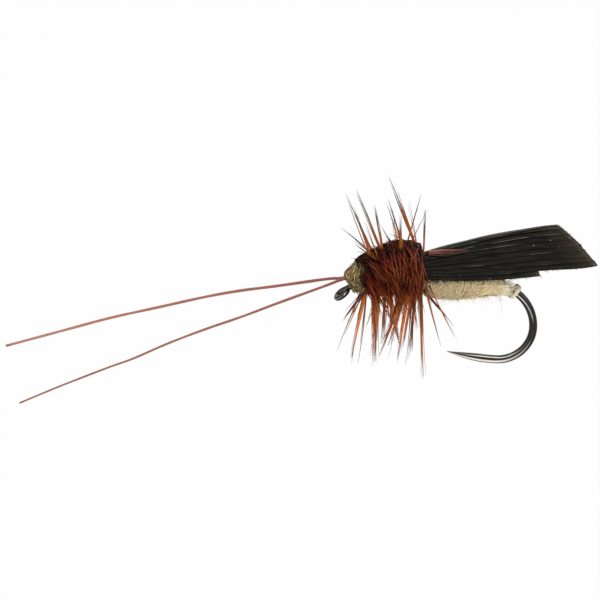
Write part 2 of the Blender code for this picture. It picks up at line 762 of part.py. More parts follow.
def build_wing(parts, finish):
    """Half of the slip as an open sheet, mirrored over the ridge and given its thickness."""
    bm = bmesh.new()
    bmesh.ops.create_grid(bm, x_segments=WING_STEPS, y_segments=WING_ROWS, size=0.5)
    for point in bm.verts:
        point.co = wing_point(point.co.x + 0.5, point.co.y + 0.5)
    wing = add_mesh("wing", bm, parts, finish)
    set_origin(wing, wing_point(0.0, 0.0))
    fold = wing.modifiers.new("fold", "MIRROR")
    fold.use_axis = (False, True, False)
    fold.merge_threshold = 1e-7
    slip = wing.modifiers.new("slip", "SOLIDIFY")
    slip.thickness = WING_THICKNESS
    slip.offset = 0.0
    return wing


def build_swept_barbs(parts, finish):
    """Tapered bundle that lies on the wing's left side, just under its ridge."""
    off = WING_THICKNESS / 2 + CLEARANCE + SWEPT_RADIUS
    points, radii = [], []
    for step in range(SWEPT_STEPS + 1):
        share = step / SWEPT_STEPS
        along = (CLEARANCE + SWEPT_LENGTH * share) / WING_LENGTH
        here = wing_point(along, SWEPT_ROW)
        ahead = wing_point(along + 0.01, SWEPT_ROW) - here
        below = wing_point(along, SWEPT_ROW + 0.01) - here
        points.append(here + below.cross(ahead).normalized() * off)
        radii.append(SWEPT_RADIUS * mix(1.0, SWEPT_TIP, share))
    bundle = add_mesh("swept_barbs", tube_mesh(points, radii, QUILL_SIDES), parts, finish)
    set_origin(bundle, wing_point(0.0, 0.0))
    return bundle


# Antennae


def build_antenna(side, reach, route, parts, head, cutters, finish):
    """Tied butt inside the head and the free quill in front of it, which bends at its root."""
    name = "left" if side < 0 else "right"
    out = side * ANTENNA_SPACING / 2
    tied = Vector((HEAD_END - HEAD_LENGTH / 4, out, ANTENNA_Z))
    free = Vector((ANTENNA_ROOT_X, out, ANTENNA_ROOT_Z))
    over = Vector((HEAD_START - WHIP_LENGTH, out, ANTENNA_Z))
    lie = [tied, over] + hermite(over, (over - tied) * 0.8, free, (free - over) * 0.8, 4)
    tied_end = tube_mesh(lie, [ANTENNA_RADIUS] * len(lie), QUILL_SIDES)
    butt = add_mesh("antenna_butt_" + name, tied_end, parts, finish)
    way = (lie[-1] - lie[-2]).normalized()
    hole = [tied - way * CLEARANCE] + lie[1:-1] + [free + way * ANTENNA_STUB]
    room = ANTENNA_RADIUS + CLEARANCE
    cutter = add_mesh("antenna_hole_" + name, tube_mesh(hole, [room] * len(hole), QUILL_SIDES), cutters)
    cut_with(head, cutter)
    root = free + way * ANTENNA_GAP
    shares = [Vector((-ahead, side * off, -down)) for ahead, off, down in route]
    stations = [root] + [free + share * reach for share in shares]
    points = smooth_route(stations, ROUTE_STEPS)
    last = len(points) - 1
    radii = [mix(ANTENNA_RADIUS, ANTENNA_TIP_RADIUS, step / last) for step in range(last + 1)]
    quill = add_mesh("antenna_" + name, tube_mesh(points, radii, QUILL_SIDES), parts, finish)
    set_origin(quill, free)
    return butt, quill


def main():
    clear_scene()
    parts = new_collection("dry_fly")
    cutters = new_collection("dry_fly_cutters")
    nickel = new_material("black_nickel", (0.035, 0.03, 0.026), 0.25, 1.0)
    thread = new_material("tan_thread", (0.52, 0.42, 0.26), 0.6)
    olive = new_material("olive_dubbing", (0.3, 0.25, 0.11), 0.55)
    brown = new_material("dark_dubbing", (0.035, 0.014, 0.008), 0.85)
    cream = new_material("cream_dubbing", (0.62, 0.5, 0.33), 0.9)
    floss = new_material("pale_floss", (0.75, 0.71, 0.6), 0.6)
    slip = new_material("black_quill", (0.014, 0.014, 0.012), 0.55)
    barbs = new_material("brown_hackle", (0.24, 0.07, 0.02), 0.5)
    quill = new_material("red_brown_quill", (0.3, 0.11, 0.075), 0.45)
    build_hook(parts, nickel)
    build_thread(parts, cutters, thread)
    head = build_head(parts, cutters, olive)
    build_thorax(parts, cutters, brown)
    build_wing_butt(parts, slip)
    build_hackle(parts, barbs)
    build_abdomen(parts, cutters, cream)
    build_tag(parts, cutters, floss)
    build_wing(parts, slip)
    build_swept_barbs(parts, barbs)
    build_antenna(-1, LEFT_REACH, LEFT_ROUTE, parts, head, cutters, quill)
    build_antenna(1, RIGHT_REACH, RIGHT_ROUTE, parts, head, cutters, quill)


main()
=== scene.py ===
"""Looks of a caddis-style dry fly, worked out over its CAD frame.

Units are metres and +Z is up. +X runs from the head to the tail along the hook's shank,
-Y is the fly's left side and the origin is the centre of the hook's eye.
"""

import json
import math

import bpy
import numpy as np
from mathutils import Matrix, Vector


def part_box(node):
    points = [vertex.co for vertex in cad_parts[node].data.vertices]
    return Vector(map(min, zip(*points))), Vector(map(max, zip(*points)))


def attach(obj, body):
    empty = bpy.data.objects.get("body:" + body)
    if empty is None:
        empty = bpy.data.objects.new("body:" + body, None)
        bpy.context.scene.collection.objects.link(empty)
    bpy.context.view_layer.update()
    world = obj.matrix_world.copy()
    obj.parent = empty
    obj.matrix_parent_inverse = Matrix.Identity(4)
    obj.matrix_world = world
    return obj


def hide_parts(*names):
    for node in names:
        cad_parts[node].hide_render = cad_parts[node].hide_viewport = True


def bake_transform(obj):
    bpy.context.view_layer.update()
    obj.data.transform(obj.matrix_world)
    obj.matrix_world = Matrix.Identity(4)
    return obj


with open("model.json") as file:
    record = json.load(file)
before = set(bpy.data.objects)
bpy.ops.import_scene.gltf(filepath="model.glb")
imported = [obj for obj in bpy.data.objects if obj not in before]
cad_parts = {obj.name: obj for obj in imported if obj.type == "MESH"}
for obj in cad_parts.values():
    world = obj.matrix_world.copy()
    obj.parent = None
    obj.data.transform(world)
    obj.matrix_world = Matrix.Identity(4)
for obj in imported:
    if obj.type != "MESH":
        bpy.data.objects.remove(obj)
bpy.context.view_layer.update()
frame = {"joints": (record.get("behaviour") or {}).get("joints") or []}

bl_info = {
    "name": "Dry Fly",
    "version": (1, 0, 0),
    "blender": (4, 5, 0),
    "location": "View3D > Sidebar > Dry Fly",
    "description": "Wire, thread, dubbed fur, quill and hackle of a dry fly",
    "category": "Add Mesh",
}

MM = 0.001
TURN = 2 * math.pi
SIDE = np.array([0.0, 1.0, 0.0])
TAILWARD = np.array([1.0, 0.0, 0.0])


# Properties


def length(name, about, millimetres):
    return bpy.props.FloatProperty(
        name=name, description=about, default=millimetres * MM, unit="LENGTH", precision=6
    )


def angle(name, about, degrees):
    return bpy.props.FloatProperty(
        name=name, description=about, default=math.radians(degrees), subtype="ANGLE"
    )


def share(name, about, value):
    return bpy.props.FloatProperty(name=name, description=about, default=value, subtype="FACTOR")


def count(name, about, number):
    return bpy.props.IntProperty(name=name, description=about, default=number, min=1)


def tint(name, about, red, green, blue):
    """Colour property whose default is given in display values from 0 to 255."""
    shown = np.array([red, green, blue]) / 255
    light = np.where(shown <= 0.04045, shown / 12.92, ((shown + 0.055) / 1.055) ** 2.4)
    return bpy.props.FloatVectorProperty(
        name=name, description=about, subtype="COLOR", size=3, min=0.0, max=1.0, default=light.tolist()
    )


class FlyHookSizes(bpy.types.PropertyGroup):
    wire: length("Wire", "Diameter of the hook's wire", 0.48)
    eye_wire: length("Eye wire", "Diameter of the thinned wire round the eye", 0.36)
    eye_hole: length("Eye hole", "Width of the eye's opening", 0.56)
    eye_droop: angle("Eye droop", "How far the eye turns down from the shank", 42)
    eye_seam: angle("Eye seam", "Where the wire's end meets the neck", 24)
    eye_open: angle("Eye open", "Where the loop leaves for the neck", 58)
    neck: length("Neck", "Wire between the eye and the shank", 0.35)
    shank_length: length("Shank", "Straight part of the wire", 9.3)
    bend_reach: length("Bend reach", "How far the bend goes behind the shank", 3.25)
    bend_drop: length("Bend drop", "How far the bend goes below the shank", 3.03)
    heel_reach: length("Heel reach", "How far the heel turns back", 2.28)
    heel_drop: length("Heel drop", "Height of the heel", 2.17)
    spear_length: length("Spear", "Straight part that ends in the point", 3.56)
    spear_rise: length("Spear rise", "How far the point lifts", 0.55)
    spear_curve: share("Spear curve", "How late the point lifts", 1.55)
    point_taper: length("Point taper", "Length of the needle point", 2.6)
    point_tip: length("Point tip", "Radius of the needle point", 0.02)
    forged_width: length("Forged width", "Width of the wire in the bend", 0.56)
    forged_thickness: length("Forged thickness", "Thickness of the flattened bend", 0.38)


class FlyBodySizes(bpy.types.PropertyGroup):
    clearance: length("Clearance", "Gap between what is wound and what it is wound on", 0.03)
    thread: length("Thread", "Diameter of the tying thread", 0.05)
    hump: length("Hump", "Height of the thorax above the shank", 2.5)
    hump_side: length("Hump side", "Half width of the thorax", 1.22)
    hump_taper: share("Hump taper", "How much the thorax grows to its rear", 0.22)
    hump_crest: share("Hump crest", "Where the thorax has its stated height", 0.3)
    under: length("Under", "Depth of the thorax below the shank", 0.55)
    head_under: length("Head under", "Depth of the head below the shank", 0.51)
    head_side: length("Head side", "Half width of the head", 0.78)
    nose: length("Nose", "How far the head reaches ahead where the antennae leave", 0.62)
    nose_height: length("Nose height", "Height of that place above the shank", 0.5)
    nose_spread: length("Nose spread", "How far up and down it reaches", 0.68)
    head_fore: length("Head fore", "How far loose fur reaches over the knot", 0.06)
    head_aft: length("Head aft", "How far loose fur reaches on to the thorax", 0.3)
    bore: length("Bore", "Radius of the thread-covered shank", 0.35)
    dubbing_front: length("Dubbing front", "Depth of fur at the front of the abdomen", 0.52)
    dubbing_belly: length("Dubbing belly", "Depth of fur at its belly", 0.66)
    dubbing_rear: length("Dubbing rear", "Depth of fur at its tail", 0.34)
    belly_at: share("Belly at", "Where the abdomen is thickest", 0.4)
    body_end: share("Body end", "Depth left at the abdomen's two ends", 0.4)
    tag_height: length("Tag height", "Depth of floss on the wire", 0.2)
    fur: length("Fur", "Radius of one hair of dubbing", 0.016)
    abdomen_hairs: count("Abdomen hairs", "Hairs laid on the abdomen", 3000)
    abdomen_cords: count("Abdomen cords", "Thick strands along the abdomen's tail", 90)
    abdomen_fuzz: count("Abdomen fuzz", "Hairs that stand off the abdomen", 900)
    thorax_hairs: count("Thorax hairs", "Hairs laid on the thorax", 900)
    collar_hairs: count("Collar hairs", "Dark hairs between thorax and head", 820)
    mane_hairs: count("Mane hairs", "Dark hairs heaped over the thorax", 1200)
    mane_side: length("Mane side", "Half width of that heap", 0.7)
    head_hairs: count("Head hairs", "Hairs laid on the head", 760)
    tag_strands: count("Tag strands", "Strands of floss along the tag", 130)
    tag_band: count("Tag band", "Strands wound round the tag's end", 46)


class FlyHackleSizes(bpy.types.PropertyGroup):
    turns: count("Turns", "Turns of the stem", 5)
    margin: length("Margin", "Thorax left bare at either end", 0.27)
    stem: length("Stem", "Width of the stem", 0.2)
    barb: length("Barb", "Radius of a barb at its root", 0.046)
    core: share("Core", "How much thicker the middle barb of the broadest bundle is", 2.2)
    spread: share("Spread", "How far the bundles follow the thorax's normal", 0.75)
    side_barbs: count("Side barbs", "Barbs that stand out at either side", 165)
    side_top: angle("Side top", "Where those barbs' roots start, from the top", 22)
    side_under: angle("Side under", "Where they end", 128)
    way_top: angle("Way top", "Which way the uppermost of them point", 97)
    way_under: angle("Way under", "Which way the lowest of them point", 114)
    side_length: length("Side length", "Length of those barbs", 3.3)
    lean_front: angle("Lean front", "Lean to the tail of the front ones", 6)
    lean_rear: angle("Lean rear", "Lean to the tail of the rear ones", -11)


class FlyWingSizes(bpy.types.PropertyGroup):
    ridge_length: length("Ridge length", "Length of the ridge", 9.0)
    cut: length("Cut", "How much longer the lower edge is", 2.5)
    ridge_root: length("Ridge root", "Height of the ridge at its root", 2.2)
    ridge_tail: length("Ridge tail", "Height of the ridge at the tail", 4.07)
    ridge_bow: length("Ridge bow", "How far the ridge arches", 0.24)
    edge_root: length("Edge root", "Height of the lower edge at its root", 0.6)
    edge_tail: length("Edge tail", "Height of the lower edge at the tail", 1.62)
    edge_sag: length("Edge sag", "How far the lower edge hangs", 0.42)
    edge_out: length("Edge out", "Distance of the lower edge from the middle", 1.11)
    edge_flare: length("Edge flare", "How much that grows to the tail", 0.28)
    strips: count("Strips", "Barbs of the slip on either side", 9)
    thickness: length("Thickness", "Thickness of one barb", 0.2)
    overlap: share("Overlap", "Width of a barb over that of its row", 1.35)
    notch: share("Notch", "Where the lowest barb ends", 0.665)
    notch_row: share("Notch row", "Where the other barbs end above it, from ridge to edge", 0.915)
    root_tuck: share("Root tuck", "How far the slip reaches ahead under the hackle", 0.03)
    frays: count("Frays", "Fine fibres along the wing's edges", 1400)
    ridge_barb: length("Ridge barb", "Radius of the barbs along the fold", 0.034)
    swept: count("Swept", "Hackle barbs that lie back on the wing", 15)
    swept_length: length("Swept length", "Length of those barbs", 2.8)
    butt_width: length("Butt width", "Width of the trimmed front end", 0.6)
    butt_thickness: length("Butt thickness", "Thickness of that end", 0.12)
    butt_stub: length("Butt stub", "How far it stands over the head", 0.85)


class FlyAntennaSizes(bpy.types.PropertyGroup):
    radius: length("Radius", "Radius of a quill at its root", 0.112)
    left_tip: length("Left tip", "Radius of the left quill's tip", 0.06)
    right_tip: length("Right tip", "Radius of the right quill's tip", 0.088)
    left_reach: length("Left reach", "How far the left quill goes ahead", 22.95)
    right_reach: length("Right reach", "How far the right quill goes ahead", 21.2)


class FlyStageSizes(bpy.types.PropertyGroup):
    azimuth: angle("Azimuth", "Camera's turn round the fly", -14)
    elevation: angle("Elevation", "Camera's height over the horizon", 14)
    roll: angle("Roll", "Camera's own turn", 3.45)
    aside: length("Aside", "Middle of the picture, right of the eye", -2.8)
    above: length("Above", "Middle of the picture, above the eye", -0.4)
    distance: length("Distance", "Camera's distance", 1500)
    breadth: length("Breadth", "Width of the picture at the fly", 40)
    floor_drop: length("Floor drop", "Depth of the floor below the eye", 30)
    floor_size: length("Floor size", "Radius of the floor", 3000)


class FlyTints(bpy.types.PropertyGroup):
    nickel: tint("Nickel", "Wire of the hook", 46, 43, 38)
    # Colour of the highlight lines painted on the wire
    nickel_highlight: tint("Nickel bright", "Painted highlight lines on the wire", 236, 230, 220)
    thread: tint("Thread", "Tying thread", 190, 170, 130)
    head: tint("Head", "Olive-gold fur of the head", 172, 136, 40)
    head_glint: tint("Head glint", "Sparkling hairs in the head", 255, 238, 176)
    thorax: tint("Thorax", "Matted fur under the hackle", 30, 15, 9)
    thorax_red: tint("Thorax red", "Red-brown hairs in it", 100, 42, 22)
    cream: tint("Cream", "Fur of the abdomen", 255, 225, 184)
    cream_deep: tint("Cream deep", "Darker hairs of the abdomen", 205, 158, 104)
    floss: tint("Floss", "Wraps of the tag", 255, 238, 205)
    barb_root: tint("Barb root", "Hackle barbs at the stem", 104, 35, 16)
    barb_middle: tint("Barb middle", "Hackle barbs half way", 236, 132, 54)
    barb_tip: tint("Barb tip", "Hackle barbs at their tips", 132, 112, 104)
    barb_dark: tint("Barb dark", "Darkest barbs of the hackle", 30, 20, 18)
    wing: tint("Wing", "Black quill", 22, 20, 14)
    # Colour of the highlight lines painted on the quill
    wing_highlight: tint("Wing worn", "Painted highlight lines on the quill", 128, 124, 112)
    wing_tail: tint("Wing tail", "Cut end of the quill", 70, 62, 50)
    quill: tint("Quill", "Antennae", 150, 80, 62)
    quill_pale: tint("Quill pale", "Pale tip of the right antenna", 172, 112, 86)
    paper: tint("Paper", "Floor and background", 255, 255, 255)


# Arithmetic on arrays


def mix(a, b, part):
    """Straight line from a, where part is 0, to b, where it is 1."""
    return a + (b - a) * part


def ease(part):
    """Smooth step from 0 to 1: 3 s squared less 2 s cubed."""
    part = np.clip(part, 0.0, 1.0)
    return part * part * (3 - 2 * part)


def planar(x, z):
    """Places or ways in the hook's own plane, where y is 0."""
    return np.stack(np.broadcast_arrays(x, 0.0, z), -1)


def unit(ways):
    """Ways divided by their own lengths."""
    return ways / np.maximum(np.linalg.norm(ways, axis=-1, keepdims=True), 1e-12)


def hermite(start, start_way, end, end_way, s):
    """Cubic that leaves start along start_way and reaches end along end_way, at the shares s of its run."""
    return (
        start * (2 * s**3 - 3 * s**2 + 1)
        + start_way * (s**3 - 2 * s**2 + s)
        + end * (3 * s**2 - 2 * s**3)
        + end_way * (s**3 - s**2)
    )


def smooth_route(points, steps):
    """Catmull-Rom curve through a route: a cubic between neighbours, its slope half of what lies beyond."""
    ends = np.vstack([2 * points[:1] - points[1:2], points, 2 * points[-1:] - points[-2:-1]])
    here, there = ends[1:-2, None], ends[2:-1, None]
    leave, reach = (there - ends[:-3, None]) / 2, (ends[3:, None] - here) / 2
    s = (np.arange(steps) / steps)[None, :, None]
    return np.vstack([hermite(here, leave, there, reach, s).reshape(-1, 3), points[-1:]])


# Shapes: points, faces of any number of corners, and each corner's place on the UV map


def grid_faces(rows, columns):
    """Quads of a grid that is closed round its columns, and their corners' rows and columns."""
    row = np.arange(rows - 1)[:, None, None]
    column = np.arange(columns)[None, :, None]
    down = row + np.array([0, 0, 1, 1])
    along = column + np.array([0, 1, 1, 0])
    down, along = np.broadcast_arrays(down, along)
    faces = down * columns + along % columns
    return faces.reshape(-1, 4), down.reshape(-1, 4), along.reshape(-1, 4)


def tubes(centres, radii, sides, flat=1.0, facing=None, tags=None):
    """Closed tubes along many centre lines at once.

    A ring's point is centre + radius (cos a e1 + flat sin a e2), where e2 is near to facing.
    """
    ways = unit(np.gradient(centres, axis=1))
    if facing is None:
        facing = np.where(np.abs(ways[:, :1, 2:]) < 0.8, [0.0, 0.0, 1.0], [1.0, 0.0, 0.0])
    first = unit(np.cross(np.broadcast_to(facing, ways.shape), ways))
    second = np.cross(ways, first)
    a = TURN * np.arange(sides) / sides
    ring = np.cos(a)[:, None] * first[:, :, None] + flat * np.sin(a)[:, None] * second[:, :, None]
    points = centres[:, :, None] + radii[:, :, None, None] * ring
    return closed(points, tags)


def closed(points, tags=None):
    """Closed surfaces over rings of points, surfaces by rows by columns, with a face at either end.

    On the UV map u runs along the rows, and v is the surface's tag or else runs round it.
    """
    number, rows, columns, _ = points.shape
    walls, down, round_it = grid_faces(rows, columns)
    starts = (np.arange(number) * rows * columns)[:, None, None]
    wall_u = np.broadcast_to(down / (rows - 1), (number, *walls.shape))
    wall_v = np.broadcast_to(round_it / columns, wall_u.shape)
    ends = np.stack([np.arange(columns)[::-1], (rows - 1) * columns + np.arange(columns)])
    end_u = np.broadcast_to(np.array([[0.0], [1.0]]), (number, 2, columns))
    end_v = np.full(end_u.shape, 0.5)
    if tags is not None:
        wall_v = np.broadcast_to(tags[:, None, None], wall_u.shape)
        end_v = np.broadcast_to(tags[:, None, None], end_u.shape)
    faces = [(walls + starts).reshape(-1, 4), (ends + starts).reshape(-1, columns)]
    maps = [
        np.stack([wall_u, wall_v], -1).reshape(-1, 4, 2),
        np.stack([end_u, end_v], -1).reshape(-1, columns, 2),
    ]
    return points.reshape(-1, 3), faces, maps


def joined(*shapes):
    """One shape from several, their points in a row and their faces counted on."""
    starts = np.cumsum([0] + [len(points) for points, _, _ in shapes])
    points = np.vstack([points for points, _, _ in shapes])
    faces = [face + start for (_, group, _), start in zip(shapes, starts) for face in group]
    maps = [corners for _, _, group in shapes for corners in group]
    return points, faces, maps


def placed(name, data):
    """Object that holds a mesh, a lamp or a camera, put into the scene."""
    made = bpy.data.objects.new(name, data)
    bpy.context.scene.collection.objects.link(made)
    return made


def add_piece(name, shape, finish, nodes, body="dressed_hook"):
    """Object made from a shape, shaded smooth, that rides on a body and stands for CAD nodes."""
    points, faces, maps = shape
    sizes = np.concatenate([np.full(len(group), group.shape[1]) for group in faces])
    corners = np.concatenate([group.ravel() for group in faces])
    mesh = bpy.data.meshes.new(name)
    mesh.vertices.add(len(points))
    mesh.vertices.foreach_set("co", points.astype(np.float32).ravel())
    mesh.loops.add(len(corners))
    mesh.polygons.add(len(sizes))
    mesh.polygons.foreach_set("loop_start", (np.cumsum(sizes) - sizes).astype(np.int32))
    mesh.polygons.foreach_set("vertices", corners.astype(np.int32))
    mesh.update(calc_edges=True)
    layer = mesh.uv_layers.new(name="UVMap")
    flat = np.concatenate([group.reshape(-1, 2) for group in maps])
    layer.data.foreach_set("uv", flat.astype(np.float32).ravel())
    mesh.shade_smooth()
    mesh.materials.append(finish.material)
    piece = placed(name, mesh)
    if body:
        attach(piece, body)
    if nodes:
        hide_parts(*nodes)
    return piece


# Shader graphs


class Field:
    """A shader socket that takes part in Python arithmetic. Each operation adds a Math node."""

    def __init__(self, graph, socket):
        self.graph = graph
        self.socket = socket

    def __add__(self, other):
        return self.graph.maths("ADD", self, other)

    def __sub__(self, other):
        return self.graph.maths("SUBTRACT", self, other)

    def __rsub__(self, other):
        return self.graph.maths("SUBTRACT", other, self)

    def __mul__(self, other):
        return self.graph.maths("MULTIPLY", self, other)

    __radd__ = __add__
    __rmul__ = __mul__


class Graph:
    """A node tree under construction, and the one way in which nodes are added to it."""

    def __init__(self, tree):
        self.tree = tree

    def node(self, kind, settings, sockets, output=0):
        """Adds a node: its settings first, then the values or links of its sockets."""
        made = self.tree.nodes.new(kind)
        for key, value in settings.items():
            if key == "stops":
                self.set_stops(made.color_ramp.elements, value)
            else:
                setattr(made, key, value)
        for key, value in sockets.items():
            self.feed(made.inputs[key], value)
        return Field(self, made.outputs[output])

    def feed(self, socket, value):
        if isinstance(value, Field):
            self.tree.links.new(value.socket, socket)
        elif socket.type == "RGBA":
            socket.default_value = (*value, 1.0)
        else:
            socket.default_value = value

    def set_stops(self, elements, stops):
        while len(elements) < len(stops):
            elements.new(1.0)
        for element, (place, colour) in zip(elements, stops):
            element.position = place
            element.color = (*colour, 1.0)

    def maths(self, operation, first, second):
        return self.node("ShaderNodeMath", {"operation": operation}, {0: first, 1: second})

    def blended(self, part, first, second, kind="MIX"):
        """Colour between two others, or their product and the like."""
        settings = {"data_type": "RGBA", "blend_type": kind}
        return self.node("ShaderNodeMix", settings, {0: part, 6: first, 7: second}, 2)

    def ramp(self, part, stops):
        return self.node("ShaderNodeValToRGB", {"stops": stops}, {"Fac": part})

    def spot(self, stretch=(1.0, 1.0, 1.0)):
        """Object coordinates, stretched by a factor along each axis."""
        place = self.node("ShaderNodeTexCoord", {}, {}, "Object")
        return self.node("ShaderNodeMapping", {}, {"Vector": place, "Scale": stretch})

    def map_axis(self, axis):
        place = self.node("ShaderNodeUVMap", {"uv_map": "UVMap"}, {})
        return self.node("ShaderNodeSeparateXYZ", {}, {0: place}, axis)

    def noise(self, place, scale, detail=2.0):
        return self.node("ShaderNodeTexNoise", {}, {"Vector": place, "Scale": scale, "Detail": detail})

    def remap(self, value, low, high):
        """Value from low to high, spread over 0 to 1 and clipped there."""
        return self.node("ShaderNodeMapRange", {}, {"Value": value, "From Min": low, "From Max": high})

    def bumped(self, height, strength, depth):
        sockets = {"Height": height, "Strength": strength, "Distance": depth}
        return self.node("ShaderNodeBump", {}, sockets, "Normal")


class Finish(Graph):
    """A material under construction. What is the same all over is set on the shader's own sockets."""

    def __init__(self, name, steady):
        self.material = bpy.data.materials.new(name)
        self.material.use_nodes = True
        super().__init__(self.material.node_tree)
        self.shader = self.tree.nodes["Principled BSDF"]
        self.set(steady)

    def set(self, sockets):
        for key, value in sockets.items():
            self.feed(self.shader.inputs[key], value)


def dimmed(value, factor):
    """Colour times a factor, no brighter than white."""
    return tuple(min(1.0, part * factor) for part in value[:3])


def hair_finish(name, light, dark, gloss, steady):
    """Hairs with two runs of colour from root to tip; each hair lies somewhere between the two.

    A run lists places along the hair, each with a colour and how much brighter or darker it is there.
    u on the UV map is the place along a hair and v is how light the hair is.
    """
    finish = Finish(name, steady)
    along = finish.map_axis("X")
    deep, bright = (
        finish.ramp(along, [(place, dimmed(tone, factor)) for place, tone, factor in run])
        for run in (dark, light)
    )
    shade = finish.blended(finish.map_axis("Y"), deep, bright)
    mottle = finish.noise(finish.spot(), 9000.0)
    dust = finish.remap(mottle, 0.3, 0.75) * 0.35 + 0.75
    dull = finish.node("ShaderNodeCombineColor", {}, {0: dust, 1: dust, 2: dust})
    finish.set({
        "Base Color": finish.blended(1.0, shade, dull, "MULTIPLY"),
        "Roughness": finish.maths("ADD", mottle * 0.2, gloss),
    })
    return finish


def nickel_finish(tints):
    """Black nickel: near-black plating; the bright line along either side of the wire is a painted highlight.

    The painted highlight lies to the inside on the bend and to the outside on the spear; noise breaks it up.
    """
    finish = Finish("black_nickel_painted_highlights", {"Metallic": 1.0, "Coat Weight": 0.3, "Coat Roughness": 0.05})
    grain = finish.noise(finish.spot((1.0, 4.0, 4.0)), 5200.0, 4.0)
    # Noise that breaks up the painted highlight line
    highlight_breaks = finish.remap(finish.noise(finish.spot(), 1300.0, 3.0), 0.36, 0.56)
    along = finish.map_axis("X")
    outer = finish.maths("SINE", finish.map_axis("Y") * TURN, 0.0)
    front = 1.0 - finish.remap(along, 0.28, 0.36)
    middle = finish.remap(along, 0.55, 0.8) * 0.75 - 0.32 + front * 0.7
    off = finish.maths("ABSOLUTE", outer - middle, 0.0)
    late = finish.remap(along, 0.66, 0.78)
    wide = late * -0.1 - 0.2
    early = highlight_breaks * 0.8 * (1.0 - finish.remap(along, 0.56, 0.66)) * (1.0 - front * 0.6)
    line = finish.remap(off * -1.0, wide, wide + 0.14) * finish.maths("MAXIMUM", early, late)
    faint_highlight = finish.remap(finish.maths("ABSOLUTE", outer + 0.62, 0.0) * -1.0, -0.24, -0.05)
    heel = finish.remap(along, 0.5, 0.6) * (1.0 - finish.remap(along, 0.72, 0.8))
    rim = finish.remap(outer, 0.82, 0.96) * heel * 0.3
    # Painted highlights: the bright line, a faint one late in the bend and one on the heel's outer rim
    bright = finish.maths("MAXIMUM", finish.maths("MAXIMUM", line, faint_highlight * late * 0.22), rim)
    base = finish.blended(grain, dimmed(tints.nickel, 0.4), dimmed(tints.nickel, 1.1))
    finish.set({
        "Base Color": finish.blended(bright, base, tints.nickel_highlight),
        "Roughness": grain * 0.12 + 0.08,
        "Normal": finish.bumped(grain, 0.15, 0.01 * MM),
    })
    return finish


def thread_finish(name, shade, steady):
    """Twisted thread: slanting plies as stripes on the UV map, with painted shade and waxy dirt between them.
    """
    finish = Finish(name, steady)
    ply = finish.maths("SINE", finish.map_axis("X") * 2600.0 + finish.map_axis("Y") * (2 * TURN), 0.0)
    dirt = finish.noise(finish.spot(), 6000.0, 3.0)
    # Ply stripes: lighter on each ply and darker between, painted shade
    pale = finish.blended(ply * 0.25 + 0.5, dimmed(shade, 0.6), dimmed(shade, 1.1))
    finish.set({
        "Base Color": finish.blended(finish.remap(dirt, 0.45, 0.8) * 0.5, pale, dimmed(shade, 0.35)),
        "Roughness": dirt * 0.3 + 0.4,
        "Normal": finish.bumped(ply, 0.4, 0.008 * MM),
    })
    return finish


def felt_finish(name, shade, deep):
    """Packed fur under the loose hairs: fine streaks round the body, darker in the gaps between them as
    painted shade.
    """
    finish = Finish(name, {"Sheen Weight": 0.15, "Specular IOR Level": 0.2})
    strands = finish.noise(finish.spot((5.0, 1.0, 1.0)), 7000.0, 4.0)
    # Mask of the streaks; the gaps between them take the darker colour as painted shade
    shaded_gaps = finish.remap(strands, 0.35, 0.65)
    finish.set({
        "Base Color": finish.blended(shaded_gaps, deep, shade),
        "Roughness": shaded_gaps * 0.2 + 0.7,
        "Normal": finish.bumped(strands, 0.7, 0.06 * MM),
    })
    return finish


# The wing's ridge climbs by so much to the tail, and its painted highlight lines gather between two heights
RIDGE_CLIMB = 0.208
HIGHLIGHT_LOW, HIGHLIGHT_HIGH = 0.9 * MM, 1.7 * MM


def wing_finish(tints):
    """Black quill: streaks along each barb, painted highlight lines near its lower rim, painted shade under
    the barb above and at each lower rim, and pale dust.

    v on the UV map runs round a barb: its cosine is 1 at the lower rim and -1 at the upper one.
    """
    finish = Finish("black_quill_painted_light", {"Specular IOR Level": 0.07})
    along = finish.map_axis("X")
    rim = finish.maths("COSINE", finish.map_axis("Y") * TURN, 0.0)
    streak = finish.noise(finish.spot((0.05, 1.0, 1.0)), 9500.0, 3.0)
    patch = finish.noise(finish.spot((0.18, 1.0, 1.0)), 2600.0, 2.0)
    base = finish.blended(finish.remap(streak, 0.4, 0.6), dimmed(tints.wing, 0.35), dimmed(tints.wing, 1.8))
    off = finish.maths("ABSOLUTE", rim - 0.72, 0.0)
    place = finish.spot()
    x, z = (finish.node("ShaderNodeSeparateXYZ", {}, {0: place}, axis) for axis in "XZ")
    ridge = finish.remap(z - x * RIDGE_CLIMB, HIGHLIGHT_LOW, HIGHLIGHT_HIGH)
    # Painted highlight lines just above each barb's lower rim, broken by noise and stronger toward the ridge
    painted_highlight = finish.remap(off * -1.0, -0.14, -0.03) * finish.remap(patch + ridge * 0.1, 0.54, 0.66)
    with_highlights = finish.blended(painted_highlight * streak * (ridge * 0.6 + 0.8), base, tints.wing_highlight)
    # Painted shade: where the barb above overlaps, and a dark line at each lower rim
    groove_shade = finish.maths("MAXIMUM", finish.remap(rim * -1.0, 0.05, 0.35), finish.remap(rim, 0.9, 0.97))
    deep = finish.blended(groove_shade * 0.92, with_highlights, dimmed(tints.wing, 0.12))
    tail = finish.remap(along + streak * 0.05, 0.985, 1.015)
    dusty = finish.blended(finish.remap(along, 0.82, 1.0) * 0.4, deep, dimmed(tints.wing_tail, 0.9))
    aged = finish.blended(tail, dusty, tints.wing_tail)
    specks = finish.remap(finish.noise(finish.spot(), 7000.0, 1.0), 0.79, 0.81)
    finish.set({
        "Base Color": finish.blended(specks, aged, dimmed(tints.floss, 0.7)),
        "Roughness": streak * 0.3 + 0.35,
        "Normal": finish.bumped(streak, 0.5, 0.03 * MM),
    })
    return finish


